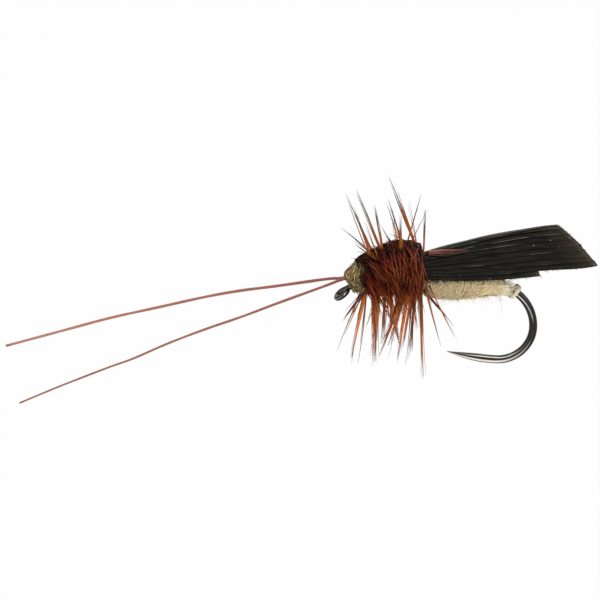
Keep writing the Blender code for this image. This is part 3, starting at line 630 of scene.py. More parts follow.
def quill_finish(name, shade, tip, tints):
    """Stripped quill: red-brown with darker rings and scars, fading to its tip's colour."""
    finish = Finish(name, {"Coat Weight": 0.25, "Coat Roughness": 0.3})
    along = finish.map_axis("X")
    rings = finish.noise(finish.spot((4.0, 0.4, 0.4)), 1500.0, 4.0)
    scars = finish.remap(finish.noise(finish.spot(), 5200.0, 3.0), 0.58, 0.72)
    rooted = finish.remap(along, 0.08, 0.4) * 0.4 + 0.6
    ringed = finish.blended(rings, dimmed(shade, 0.55), dimmed(shade, 1.35))
    base = finish.blended(rooted, dimmed(tints.barb_dark, 1.6), ringed)
    faded = finish.blended(finish.remap(along, 0.35, 1.0), base, tip)
    finish.set({
        "Base Color": finish.blended(scars * 0.6, faded, dimmed(tints.thorax_red, 0.8)),
        "Roughness": rings * 0.3 + 0.25,
        "Normal": finish.bumped(rings, 0.5, 0.03 * MM),
    })
    return finish


# The fly's own surfaces


class Wire:
    """Centre line of the hook's wire and the places along it, worked out from the hook's sizes."""

    def __init__(self, hook):
        self.hook = hook
        self.radius = hook.wire / 2
        self.eye_radius = (hook.eye_hole + hook.eye_wire) / 2
        self.corner = self.eye_radius + hook.eye_wire / 2 + hook.neck
        self.neck_way = np.array([math.cos(hook.eye_droop), 0.0, math.sin(hook.eye_droop)])
        self.eye_up = np.array([-math.sin(hook.eye_droop), 0.0, math.cos(hook.eye_droop)])
        self.shank_x, _, self.shank_z = self.corner * self.neck_way
        self.bend_x = self.shank_x + hook.shank_length
        self.heel_x = self.bend_x + hook.bend_reach - hook.heel_reach
        self.heel_z = self.shank_z - hook.bend_drop

    def frame(self, x):
        """Centre and upward normal at x: level on the shank, then on the bend's first quarter ellipse."""
        lean = np.arcsin(np.clip((x - self.bend_x) / self.hook.bend_reach, 0.0, 0.97))
        drop = self.hook.bend_drop * (1 - np.cos(lean))
        fall = self.hook.bend_drop * np.sin(lean)
        return planar(x, self.shank_z - drop), unit(planar(fall, self.hook.bend_reach * np.cos(lean)))

    def sleeve(self, x, a, radius):
        """Place at radius from the centre line at x, at angle a from the top towards +Y, and the way out."""
        centre, up = self.frame(x)
        out = np.cos(a)[..., None] * up + np.sin(a)[..., None] * SIDE
        return centre + np.asarray(radius)[..., None] * out, out

    def loop(self):
        """Eye and neck: a circle from the seam, then two cubics up the throat and on to the shank."""
        hook = self.hook
        a = np.linspace(-hook.eye_seam, hook.eye_open - TURN, 90)[:, None]
        ring = self.eye_radius * (np.cos(a) * self.neck_way + np.sin(a) * SIDE)
        pull = 1.3 * self.eye_radius
        leave = (math.sin(a[-1, 0]) * self.neck_way - math.cos(a[-1, 0]) * SIDE) * pull
        throat = self.neck_way * (self.corner - 0.65 * hook.neck)
        shank = np.array([self.shank_x + 0.7 * hook.neck, 0.0, self.shank_z])
        s = np.linspace(0.0, 1.0, 25)[1:]
        into_throat = hermite(ring[-1], leave, throat, self.neck_way * pull, s[:, None])
        pull = 1.2 * hook.neck
        into_shank = hermite(throat, self.neck_way * pull, shank, TAILWARD * pull, s[:, None])
        thin, grown = hook.eye_wire / 2, ease(s)
        middle = mix(thin, self.radius, 0.35)
        points = np.vstack([ring, into_throat, into_shank])
        radii = [np.full(len(ring), thin), mix(thin, middle, grown), mix(middle, self.radius, grown)]
        return points, np.concatenate(radii), len(ring) + len(into_throat)

    def bend(self):
        """Shank, two quarter ellipses and a spear that lifts by a power of its length; radii and flatness."""
        hook = self.hook
        x = np.linspace(self.shank_x + 0.7 * hook.neck, self.bend_x, 60)[1:-1]
        shank = planar(x, self.shank_z)
        t = np.linspace(0, math.pi / 2, 61)[:-1]
        drop = hook.bend_drop * (1 - np.cos(t))
        bend = planar(self.bend_x + hook.bend_reach * np.sin(t), self.shank_z - drop)
        heel = planar(self.heel_x + hook.heel_reach * np.cos(t), self.heel_z - hook.heel_drop * np.sin(t))
        s = np.linspace(0, 1, 90)
        lift = hook.spear_rise * s**hook.spear_curve
        spear = planar(self.heel_x - hook.spear_length * s, self.heel_z - hook.heel_drop + lift)
        forged = hook.forged_width / 2
        swell = ease(np.linspace(0, 2, len(t)))
        left = np.minimum(1.0, hook.spear_length * (1 - s) / hook.point_taper)
        radii = np.concatenate([
            np.full(len(x), self.radius),
            mix(self.radius, forged, swell),
            np.full(len(t), forged),
            mix(hook.point_tip, forged, np.sin(math.pi / 2 * left)),
        ])
        pressed = np.concatenate([np.zeros(len(x)), swell, np.ones(len(t) + len(s))])
        return np.vstack([shank, bend, heel, spear]), radii, pressed


class Body:
    """Surfaces of the dubbed body. Each takes x and an angle from the top, and gives place and way out."""

    def __init__(self, sizes, hook, hackle, wing):
        self.sizes = sizes
        self.hackle = hackle
        self.wing = wing
        self.wire = Wire(hook)
        self.thorax_x = [corner[0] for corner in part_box("thorax")]
        self.head_x = [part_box("whip_finish")[0][0] - sizes.head_fore, self.thorax_x[0] + sizes.head_aft]
        self.head_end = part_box("hackle_wraps")[0][0] - sizes.clearance
        self.abdomen_x = [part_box("abdomen")[0][0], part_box("thread_base")[1][0]]

    def abdomen(self, x, a):
        """Round section whose radius eases from front to belly to rear and rounds in at both ends."""
        sizes = self.sizes
        s = np.clip((x - self.abdomen_x[0]) / (self.abdomen_x[1] - self.abdomen_x[0]), 0.0, 1.0)
        fore = mix(sizes.dubbing_front, sizes.dubbing_belly, ease(s / sizes.belly_at))
        aft = mix(sizes.dubbing_belly, sizes.dubbing_rear, ease((s - sizes.belly_at) / (1 - sizes.belly_at)))
        end = np.sqrt(np.maximum(0.0, 1 - np.abs(2 * s - 1) ** 12))
        radius = sizes.bore + np.where(s < sizes.belly_at, fore, aft) * mix(sizes.body_end, 1.0, end)
        return self.wire.sleeve(x, a, radius)

    def blunt(self, x, start, end):
        """Place from -1 to 1 between start and end, and the share that is left by blunt ends of power 4."""
        along = np.clip(2 * (x - start) / (end - start) - 1, -1.0, 1.0)
        return along, (1 - np.abs(along) ** 4) ** 0.25

    def thorax_section(self, x):
        """Height, depth and half width of the hump: blunt at its ends, growing to the rear."""
        along, blunt = self.blunt(x, *self.thorax_x)
        grow = 1 + self.sizes.hump_taper * (along - self.sizes.hump_crest)
        wide = self.sizes.hump_side * grow * blunt
        return self.sizes.hump * grow * blunt, self.sizes.under * blunt**0.5, wide

    def egg(self, x, a, over, under, side):
        """Egg-shaped section round the shank: over above it, under below it and side to the sides."""
        rise = mix(-under, over, (np.cos(a) + 1) / 2)
        place = np.stack([x, side * np.sin(a), self.wire.shank_z + rise], -1)
        high = np.maximum(over + under, 1e-9) / 2
        return place, unit(np.stack([0 * a, np.sin(a) * high, np.cos(a) * side], -1) + 1e-15)

    def thorax(self, x, a):
        """Egg-shaped section with the hump's height, depth and half width."""
        return self.egg(x, a, *self.thorax_section(x))

    def butt_height(self, x):
        """Underside of the wing's butt: on the thorax, then level over the head."""
        shoulder = self.thorax_x[0] + self.hackle.margin
        return self.thorax_section(np.maximum(x, shoulder))[0] + self.sizes.clearance

    def head(self, x, a):
        """Blunt lump as high as the wing's butt; its front swells to a nose where the antennae leave."""
        along, blunt = self.blunt(x, *self.head_x)
        over = (self.butt_height(np.asarray(self.head_end)) - self.sizes.clearance) * blunt
        place, out = self.egg(x, a, over, self.sizes.head_under * blunt**0.5, self.sizes.head_side * blunt)
        rise = (place[..., 2] - self.wire.shank_z - self.sizes.nose_height) / self.sizes.nose_spread
        place[..., 0] -= self.sizes.nose * np.exp(-(rise**2)) * (1 - along) / 2
        return place, out

    def loop(self, x, a):
        """Place at angle a on the loop of the hackle's stem round the thorax at x, and the way out."""
        hackle, sizes = self.hackle, self.sizes
        near = [self.thorax_section(x + step * hackle.stem / 2) for step in (-1, 0, 1)]
        over, under, side = (np.maximum.reduce(values) for values in zip(*near))
        off = 1.5 * sizes.clearance + hackle.stem / 2
        top = over + self.wing.butt_thickness + 2 * sizes.clearance + off
        bottom = under + off
        high, wide = (top + bottom) / 2, side + off
        z = self.wire.shank_z + (top - bottom) / 2 + high * np.cos(a)
        place = np.stack([x, wide * np.sin(a), z], -1)
        return place, unit(np.stack([0 * a, np.sin(a) / wide, np.cos(a) / high], -1))

    def wound(self, part):
        """x of the part of the thorax, from 0 to 1, that the stem is wound over."""
        start, end = self.thorax_x
        return mix(start + self.hackle.margin, end - self.hackle.margin, part)

    def slip(self, along, down):
        """Left half of the wing: along from root to tail, down from the ridge to the lower edge."""
        wing = self.wing
        drop = np.abs(down) ** 1.2
        run = along * (wing.ridge_length + wing.cut * drop * (1.42 - 0.42 * drop))
        ridge_part = run / wing.ridge_length
        edge_part = run / (wing.ridge_length + wing.cut)
        bow = 4 * wing.ridge_bow * ridge_part * (1 - ridge_part)
        sag = 4 * wing.edge_sag * edge_part * (1 - edge_part)
        ridge = mix(wing.ridge_root, wing.ridge_tail, ridge_part) + bow
        edge = mix(wing.edge_root, wing.edge_tail, edge_part) - sag
        out = wing.edge_out + wing.edge_flare * edge_part
        height = self.wire.shank_z + mix(ridge, edge, drop)
        return np.stack([self.abdomen_x[0] + run, -out * down**0.75, height], -1)


class Draws:
    """Seeded random numbers for many hairs at once: even between two limits, or a bell round a middle."""

    def __init__(self, rng, number):
        self.rng, self.number = rng, number

    def even(self, low, high, *more):
        return self.rng.uniform(low, high, (self.number, *more))

    def bell(self, middle, spread, *more):
        return self.rng.normal(middle, spread, (self.number, *more))


def laid_fur(surface, span, x, a, run, turn, lift, rows, thick, tip, tags, sides=3):
    """Hairs that start on a surface and run over it: x grows by run, in mm, and the angle by turn.

    They rise from the surface by a first lift and by a second one times the square of the way along, in mm.
    """
    s = np.linspace(0.0, 1.0, rows)
    along = np.clip(x[:, None] + (run * MM)[:, None] * s, *span)
    places, out = surface(along, a[:, None] + turn[:, None] * s)
    first, second = (part[:, None] * MM for part in lift)
    return hair_shape(places + (first + second * s**2)[..., None] * out, thick, tip, tags, sides, out)


def standing_hairs(roots, ways, lengths, curl, rows):
    """Centre lines from roots along ways, bent sideways by curl times the square of the way along."""
    s = np.linspace(0.0, 1.0, rows)[None, :, None]
    return roots[:, None] + ways[:, None] * lengths[:, None, None] * s + curl[:, None] * s**2


def hair_shape(centres, radius, tip, tags, sides=3, facing=None):
    """Tapered tubes: full at the root, then thinning by the power 1.6 to tip times as thick."""
    s = np.linspace(0.0, 1.0, centres.shape[1])
    radii = radius[:, None] * (1 - (1 - tip) * s**1.6)
    return tubes(centres, radii, sides, facing=facing, tags=tags)


def lumps(rng, rows, columns, waves, depth):
    """Seamless unevenness on a grid: a sum of waves, so many round and along it, with random phases."""
    s = np.linspace(0.0, 1.0, rows)[:, None]
    a = TURN * np.arange(columns)[None, :] / columns
    total = np.zeros((rows, columns))
    for around, along in waves:
        total = total + np.sin(around * a + TURN * along * s + rng.uniform(0, TURN))
    return 1 + depth * total / len(waves)


def rounded(margin, rows):
    """Shares from margin to 1 less margin, laid on a half circle so that they crowd at both ends."""
    return 0.5 - 0.5 * np.cos(np.linspace(margin, 1 - margin, rows) * math.pi)


def rough_core(surface, x, columns, rng, waves, depth, kept, wire=None):
    """Closed skin of a surface, uneven by lumps and drawn in so that a share of its size is kept.

    It is drawn in to the wire's centre line, or without a wire to the middle of each section.
    """
    x = x[:, None] + np.zeros((1, columns))
    places, _ = surface(x, np.zeros(x.shape) + TURN * np.arange(columns) / columns)
    middle = wire.frame(x)[0] if wire else places.mean(axis=1, keepdims=True)
    rough = lumps(rng, *x.shape, waves, depth)
    return closed((middle + (places - middle) * (kept * rough)[..., None])[None])


def downward(a):
    """Which way an angle from the top turns to go down: -1 on the left, 1 on the right."""
    return np.where(np.sin(a) < 0, -1.0, 1.0)


def leaning(lean, fan):
    """Ways at an angle fan from the top, round the body, that lean to the tail."""
    return np.stack([np.sin(lean), np.cos(lean) * np.sin(fan), np.cos(lean) * np.cos(fan)], -1)


def helix_tubes(wire, start, end, pitch, radius, thread, per_turn=22):
    """Tube wound round the wire from x start to end, with the given pitch and radius."""
    number = max(2, int(abs(end - start) / pitch * per_turn))
    x = np.linspace(start, end, number)
    places, out = wire.sleeve(x, TURN * (x - start) / pitch, np.broadcast_to(radius, x.shape))
    return tubes(places[None], np.full((1, number), thread / 2), 6, facing=out[None])


# Operators


class FlyPiece:
    """What every operator of the fly shares: the fly's surfaces and its own seed of random draws."""

    bl_options = {"REGISTER", "UNDO"}
    seed = 0

    def begin(self, context):
        """The scene's settings, the surfaces that follow from them and the piece's own random draws."""
        fly = context.scene
        body = Body(fly.fly_body, fly.fly_hook, fly.fly_hackle, fly.fly_wing)
        return fly, body, np.random.default_rng(self.seed)


class FLY_OT_hook(FlyPiece, bpy.types.Operator):
    """Wire of the hook: a round section carried along its centre line, flattened through the bend"""

    bl_idname = "fly.hook"
    bl_label = "Hook"

    # Points round the wire, and how squarely its sides meet its flats in the bend
    RING, SQUARE = 28, 8

    def execute(self, context):
        fly, body, _ = self.begin(context)
        hook, wire = fly.fly_hook, body.wire
        loop, loop_radii, loop_end = wire.loop()
        bend, bend_radii, bend_pressed = wire.bend()
        points = np.vstack([loop, bend])
        radii = np.concatenate([loop_radii, bend_radii])
        pressed = np.concatenate([np.zeros(len(loop)), bend_pressed])
        ways = unit(np.gradient(points, axis=0))
        facing = np.stack([-ways[:, 2], 0 * radii, ways[:, 0]], -1)
        facing[:loop_end] = wire.eye_up
        places, faces, maps = tubes(points[None], radii[None], self.RING, facing=facing[None])
        places = places.reshape(len(points), self.RING, 3)
        flat = mix(1.0, hook.forged_thickness / 2 / radii, pressed)[:, None] * radii[:, None]
        side = places[..., 1] / np.maximum(flat, 1e-9)
        soft = places[..., 1] / (1 + np.abs(side) ** self.SQUARE) ** (1 / self.SQUARE)
        eased = mix(places[..., 1], soft, pressed[:, None])
        places[..., 1] = np.where(pressed[:, None] > 0, eased, places[..., 1])
        shape = places.reshape(-1, 3), faces, maps
        finish = nickel_finish(fly.fly_tints)
        add_piece("hook_wire", shape, finish, ["hook"])
        return {"FINISHED"}


class FLY_OT_thread(FlyPiece, bpy.types.Operator):
    """Tying thread: a layer wound along the shank and three bands of turns"""

    bl_idname = "fly.thread"
    bl_label = "Thread"

    # Bands: piece, node, pitch in thread widths and heights of its layers in mm
    BANDS = (
        ("thread_layer", "thread_base", 1.6, [0.0]),
        ("whip_turns", "whip_finish", 0.5, [0.0]),
        ("hackle_turns", "hackle_wraps", 0.34, [0.08, 0.15, 0.22]),
        ("wing_turns", "wing_wraps", 0.34, [0.08, 0.15, 0.22]),
    )

    def execute(self, context):
        fly, body, _ = self.begin(context)
        sizes, wire = fly.fly_body, body.wire
        finish = thread_finish("waxed_thread", fly.fly_tints.thread, {"Sheen Weight": 0.2})
        base = wire.radius + sizes.thread / 2 + 0.5 * sizes.clearance
        for name, node, pitch, layers in self.BANDS:
            low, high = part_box(node)
            coils = [
                helix_tubes(wire, low[0], high[0], pitch * sizes.thread, base + layer * MM, sizes.thread)
                for layer in layers
            ]
            add_piece(name, joined(*coils), finish, [node])
        return {"FINISHED"}


class FLY_OT_abdomen(FlyPiece, bpy.types.Operator):
    """Abdomen: a felted core wound in slanting ridges, laid hairs and loose fuzz"""

    bl_idname = "fly.abdomen"
    bl_label = "Abdomen"
    seed = 11

    # Unevenness of the core: waves round it and along it
    WAVES = [(1, 7), (1, 8), (2, 5), (-3, 2), (4, 9)]

    def execute(self, context):
        fly, body, rng = self.begin(context)
        sizes, cream, deep = fly.fly_body, fly.fly_tints.cream, fly.fly_tints.cream_deep
        x = np.linspace(*body.abdomen_x, 120)
        core = rough_core(body.abdomen, x, 48, rng, self.WAVES, 0.07, 0.88, body.wire)
        felt = felt_finish("cream_felt", cream, dimmed(deep, 0.45))
        add_piece("abdomen_core", core, felt, ["abdomen"])
        coats = [coat(sizes, body, rng) for coat in (self.hairs, self.cords, self.fuzz)]
        finish = hair_finish(
            "cream_fur",
            [(0.0, cream, 1.0), (0.6, cream, 1.2), (1.0, cream, 1.3)],
            [(0.0, deep, 0.4), (0.5, deep, 0.7), (1.0, deep, 1.0)],
            0.5,
            {"Specular IOR Level": 0.2},
        )
        add_piece("abdomen_fur", joined(*coats), finish, [])
        return {"FINISHED"}

    def hairs(self, sizes, body, rng):
        """Short hairs laid all ways, longer and straighter to the rear, where a few more are dark."""
        start, end = body.abdomen_x
        draw = Draws(rng, sizes.abdomen_hairs)
        at = draw.even(start + 0.02 * MM, end - 0.1 * MM)
        rear = ease((at - mix(start, end, 0.6)) / (0.35 * (end - start)))
        run = mix(draw.bell(0.3, 0.35), draw.even(0.7, 1.5), rear)
        swing = draw.even(-0.7, 1.8) * mix(1.0, 0.35, rear)
        lift = draw.even(-0.06, 0.05), np.abs(draw.bell(0, 0.07))
        a = draw.even(0, TURN)
        # Fewer dark hairs to the front: painted light that makes up for the hackle's shadow there
        rare = mix(0.05, 0.15, (at - start) / (end - start))
        tags = np.where(draw.even(0, 1) < rare, 0.0, draw.even(0.65, 1.0))
        thick = sizes.fur * draw.even(0.7, 1.6) * mix(1.0, 1.5, rear)
        return laid_fur(body.abdomen, (start, end), at, a, run, swing, lift, 6, thick, 0.35, tags)

    def cords(self, sizes, body, rng):
        """Thick strands that run back along the abdomen's tail."""
        draw = Draws(rng, sizes.abdomen_cords)
        at = mix(*body.abdomen_x, draw.even(0.55, 0.82))
        lift = draw.even(-0.04, 0.02), draw.bell(0.0, 0.03)
        return laid_fur(
            body.abdomen, body.abdomen_x, at, draw.even(0, TURN), draw.even(0.8, 1.6), draw.even(0.2, 0.7),
            lift, 12, sizes.fur * draw.even(2.5, 4.0), 0.5, draw.even(0.2, 1.0), 5,
        )

    def fuzz(self, sizes, body, rng):
        """Loose hairs that stand off the abdomen's sides and underside."""
        start, end = body.abdomen_x
        draw = Draws(rng, sizes.abdomen_fuzz)
        x = start + (end - start) * draw.even(0, 1) ** 0.9
        a = draw.even(0, TURN)
        roots, out = body.abdomen(x, np.where(np.cos(a) > 0.3, a + math.pi, a))
        ways = unit(out + draw.bell(0, 0.75, 3) + 0.5 * TAILWARD)
        lengths = np.clip(rng.gamma(2.2, 0.14, draw.number), 0.1, 0.9) * MM
        curl = draw.bell(0, 0.3, 3) * lengths[:, None]
        centres = standing_hairs(roots - 0.1 * MM * out, ways, lengths, curl, 7)
        return hair_shape(centres, sizes.fur * draw.even(0.5, 1.0), 0.3, draw.even(0, 1))


class FLY_OT_tag(FlyPiece, bpy.types.Operator):
    """Tag: strands of floss that slip along the first of the bend, and a band wound round their ends"""

    bl_idname = "fly.tag"
    bl_label = "Tag"
    seed = 23

    def execute(self, context):
        fly, body, rng = self.begin(context)
        sizes, pale = fly.fly_body, fly.fly_tints.floss
        start, end = body.abdomen_x[1] - 0.6 * MM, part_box("tag")[1][0]
        radius = fly.fly_hook.forged_width / 2 + sizes.clearance + 0.5 * sizes.tag_height

        def floss(x, a):
            """Sleeve on the wire that narrows to the tail."""
            return body.wire.sleeve(x, a, mix(1.6, 1.0, ease((x - start) / (end - start))) * radius)

        draw = Draws(rng, sizes.tag_strands)
        under = draw.even(0.2, 0.82) * TURN
        lift = draw.even(-0.02, 0.06), draw.bell(0.0, 0.03)
        slips = laid_fur(
            floss, (start, end), draw.even(start, start + 0.6 * MM), under, draw.even(0.6, 1.2),
            draw.bell(0.3, 0.4), lift, 9, draw.even(0.03, 0.055) * MM, 0.6, draw.even(0, 1), 4,
        )
        draw = Draws(rng, sizes.tag_band)
        lift = draw.even(0.03, 0.12), np.zeros(draw.number)
        band = laid_fur(
            floss, (start, end), draw.even(end - 0.2 * MM, end - 0.05 * MM), draw.even(0, TURN),
            draw.bell(0.0, 0.05), draw.even(2.0, 5.0), lift, 16, draw.even(0.025, 0.04) * MM, 0.7,
            draw.even(0.4, 1), 4,
        )
        finish = hair_finish(
            "pale_floss_strands",
            [(0.0, pale, 1.0), (0.7, pale, 1.1), (1.0, pale, 0.9)],
            [(0.0, pale, 0.6), (0.7, pale, 0.75), (1.0, pale, 0.6)],
            0.35,
            {"Sheen Weight": 0.2},
        )
        add_piece("tag_floss", joined(slips, band), finish, ["tag"])
        return {"FINISHED"}


class FLY_OT_thorax(FlyPiece, bpy.types.Operator):
    """Thorax: a dark felted hump with matted hairs that slant down and back"""

    bl_idname = "fly.thorax"
    bl_label = "Thorax"
    seed = 37

    # Unevenness of the core: waves round it and along it
    WAVES = [(2, 3), (3, -2), (5, 4), (7, 6)]
    # Fur heaped over the wing's stub: x and height above the shank, in mm
    MANE = (
        (0.84, 1.62), (0.98, 1.86), (1.20, 1.95), (1.43, 2.09), (1.85, 2.36), (2.36, 2.55),
        (2.87, 2.88), (3.60, 3.02), (4.60, 2.97), (5.20, 2.72),
    )

    def execute(self, context):
        fly, body, rng = self.begin(context)
        sizes, dark, red = fly.fly_body, fly.fly_tints.thorax, fly.fly_tints.thorax_red
        x = mix(*body.thorax_x, rounded(0.02, 60))
        core = rough_core(body.thorax, x, 48, rng, self.WAVES, 0.06, 0.94, body.wire)
        felt = felt_finish("dark_felt", dark, dimmed(dark, 0.4))
        add_piece("thorax_core", core, felt, ["thorax"])
        coats = [coat(sizes, body, rng) for coat in (self.hump, self.collar, self.mane)]
        finish = hair_finish(
            "dark_fur",
            [(0.0, red, 1.0), (0.7, red, 1.3), (1.0, red, 0.8)],
            [(0.0, dark, 0.5), (0.7, dark, 1.0), (1.0, dark, 0.7)],
            0.45,
            {"Specular IOR Level": 0.15},
        )
        add_piece("thorax_fur", joined(*coats), finish, [])
        return {"FINISHED"}

    def hump(self, sizes, body, rng):
        """Hairs laid down and back over the hump."""
        start, end = body.thorax_x
        draw = Draws(rng, sizes.thorax_hairs)
        at, a = draw.even(start + 0.1 * MM, end - 0.3 * MM), draw.even(0, TURN)
        lift = draw.even(-0.05, 0.08), np.abs(draw.bell(0, 0.22))
        return laid_fur(
            body.thorax, (start, end), at, a, draw.even(0.1, 1.1), downward(a) * draw.even(0.1, 1.0), lift, 8,
            draw.even(0.018, 0.045) * MM, 0.3, draw.even(0, 1) ** 1.5,
        )

    def collar(self, sizes, body, rng):
        """Hairs over the head's rear; their front edge slants forward to the top."""
        draw = Draws(rng, sizes.collar_hairs)
        a = draw.even(0, TURN)
        fore = mix(0.6, 0.24, (np.cos(a) + 1) / 2)
        at = mix(*body.head_x, mix(fore, 0.95, draw.even(0, 1)))
        lift = draw.even(-0.04, 0.1), np.abs(draw.bell(0.1, 0.15))
        return laid_fur(
            body.head, body.head_x, at, a, draw.even(0.0, 0.5), downward(a) * draw.even(0.1, 0.9), lift, 8,
            draw.even(0.02, 0.045) * MM, 0.3, draw.even(0, 1) ** 1.5,
        )

    def mane(self, sizes, body, rng):
        """Fur heaped over the thorax in egg-shaped sections, black at its front and redder to the rear."""
        at_mm, height_mm = np.array(self.MANE).T
        front, rear = at_mm[[0, -1]] * MM

        def heap(x, a):
            """Egg-shaped section whose height follows the mane's line."""
            return body.egg(x, a, np.interp(x / MM, at_mm, height_mm) * MM, sizes.under, sizes.mane_side)

        draw = Draws(rng, sizes.mane_hairs)
        at = draw.even(front, rear)
        grown = ease((at - front) / MM)
        lift = -mix(0.15, 0.6, grown) * draw.even(0, 1) ** 1.6, draw.even(0, 0.1)
        a, run, turn = draw.bell(0, 0.7) * mix(0.4, 1.0, grown), draw.even(-0.2, 0.6), draw.bell(0, 0.7)
        thick = draw.even(0.025, 0.055) * MM
        tags = draw.even(0, 1) ** mix(1.8, 0.9, (at - front) / (rear - front))
        tags *= ease((at - front) / (0.6 * MM))
        return laid_fur(heap, (front, rear), at, a, run, turn, lift, 8, thick, 0.3, tags)


class FLY_OT_head(FlyPiece, bpy.types.Operator):
    """Head: an olive-gold lump of sparkling hairs, lightly varnished"""

    bl_idname = "fly.head"
    bl_label = "Head"
    seed = 41

    # Unevenness of the core: waves round it and along it
    WAVES = [(2, 1), (3, -2), (5, 3), (6, -4)]

    def execute(self, context):
        fly, body, rng = self.begin(context)
        olive, glint = fly.fly_tints.head, fly.fly_tints.head_glint
        x = mix(*body.head_x, rounded(0.05, 40))
        core = rough_core(body.head, x, 40, rng, self.WAVES, 0.07, 0.92)
        # The core, seen between the hairs, is drawn darker than they are as painted shade
        felt = felt_finish("olive_felt", dimmed(olive, 0.5), dimmed(olive, 0.08))
        add_piece("head_core", core, felt, ["head"])
        finish = hair_finish(
            "olive_sparkle",
            [(0.0, olive, 1.0), (0.35, olive, 1.6), (0.5, glint, 1.0), (0.8, glint, 1.0), (1.0, olive, 1.4)],
            [(0.0, olive, 0.06), (0.5, olive, 0.45), (1.0, olive, 0.1)],
            0.12,
            {"Coat Weight": 0.2, "Coat Roughness": 0.15},
        )
        add_piece("head_fur", self.hairs(fly.fly_body, body, rng), finish, [])
        return {"FINISHED"}

    def hairs(self, sizes, body, rng):
        """Hairs laid either way round the head, lighter in patches and darker to the rear."""
        draw = Draws(rng, sizes.head_hairs)
        a = draw.even(0, TURN)
        aft = mix(0.64, 0.34, (np.cos(a) + 1) / 2)
        back = draw.even(0, 1) ** 1.5
        at = mix(*body.head_x, aft * back)
        lift = draw.even(-0.05, 0.06), np.abs(draw.bell(0, 0.09))
        run, turn = draw.bell(0, 0.2), rng.choice([-1.0, 1.0], draw.number) * draw.even(0.2, 1.0)
        thick = draw.even(0.014, 0.036) * MM
        patchy = 0.5 + 0.5 * np.sin(5 * a + 7 * at / MM) * np.cos(2 * a - 4 * at / MM)
        tags = rng.choice([0.05, 0.25, 0.55, 1.0], draw.number, p=[0.3, 0.3, 0.25, 0.15])
        tags = np.clip(tags * mix(0.25, 1.8, patchy) * mix(1.2, 0.4, back), 0.0, 1.0)
        return laid_fur(body.head, body.head_x, at, a, run, turn, lift, 8, thick, 0.4, tags)


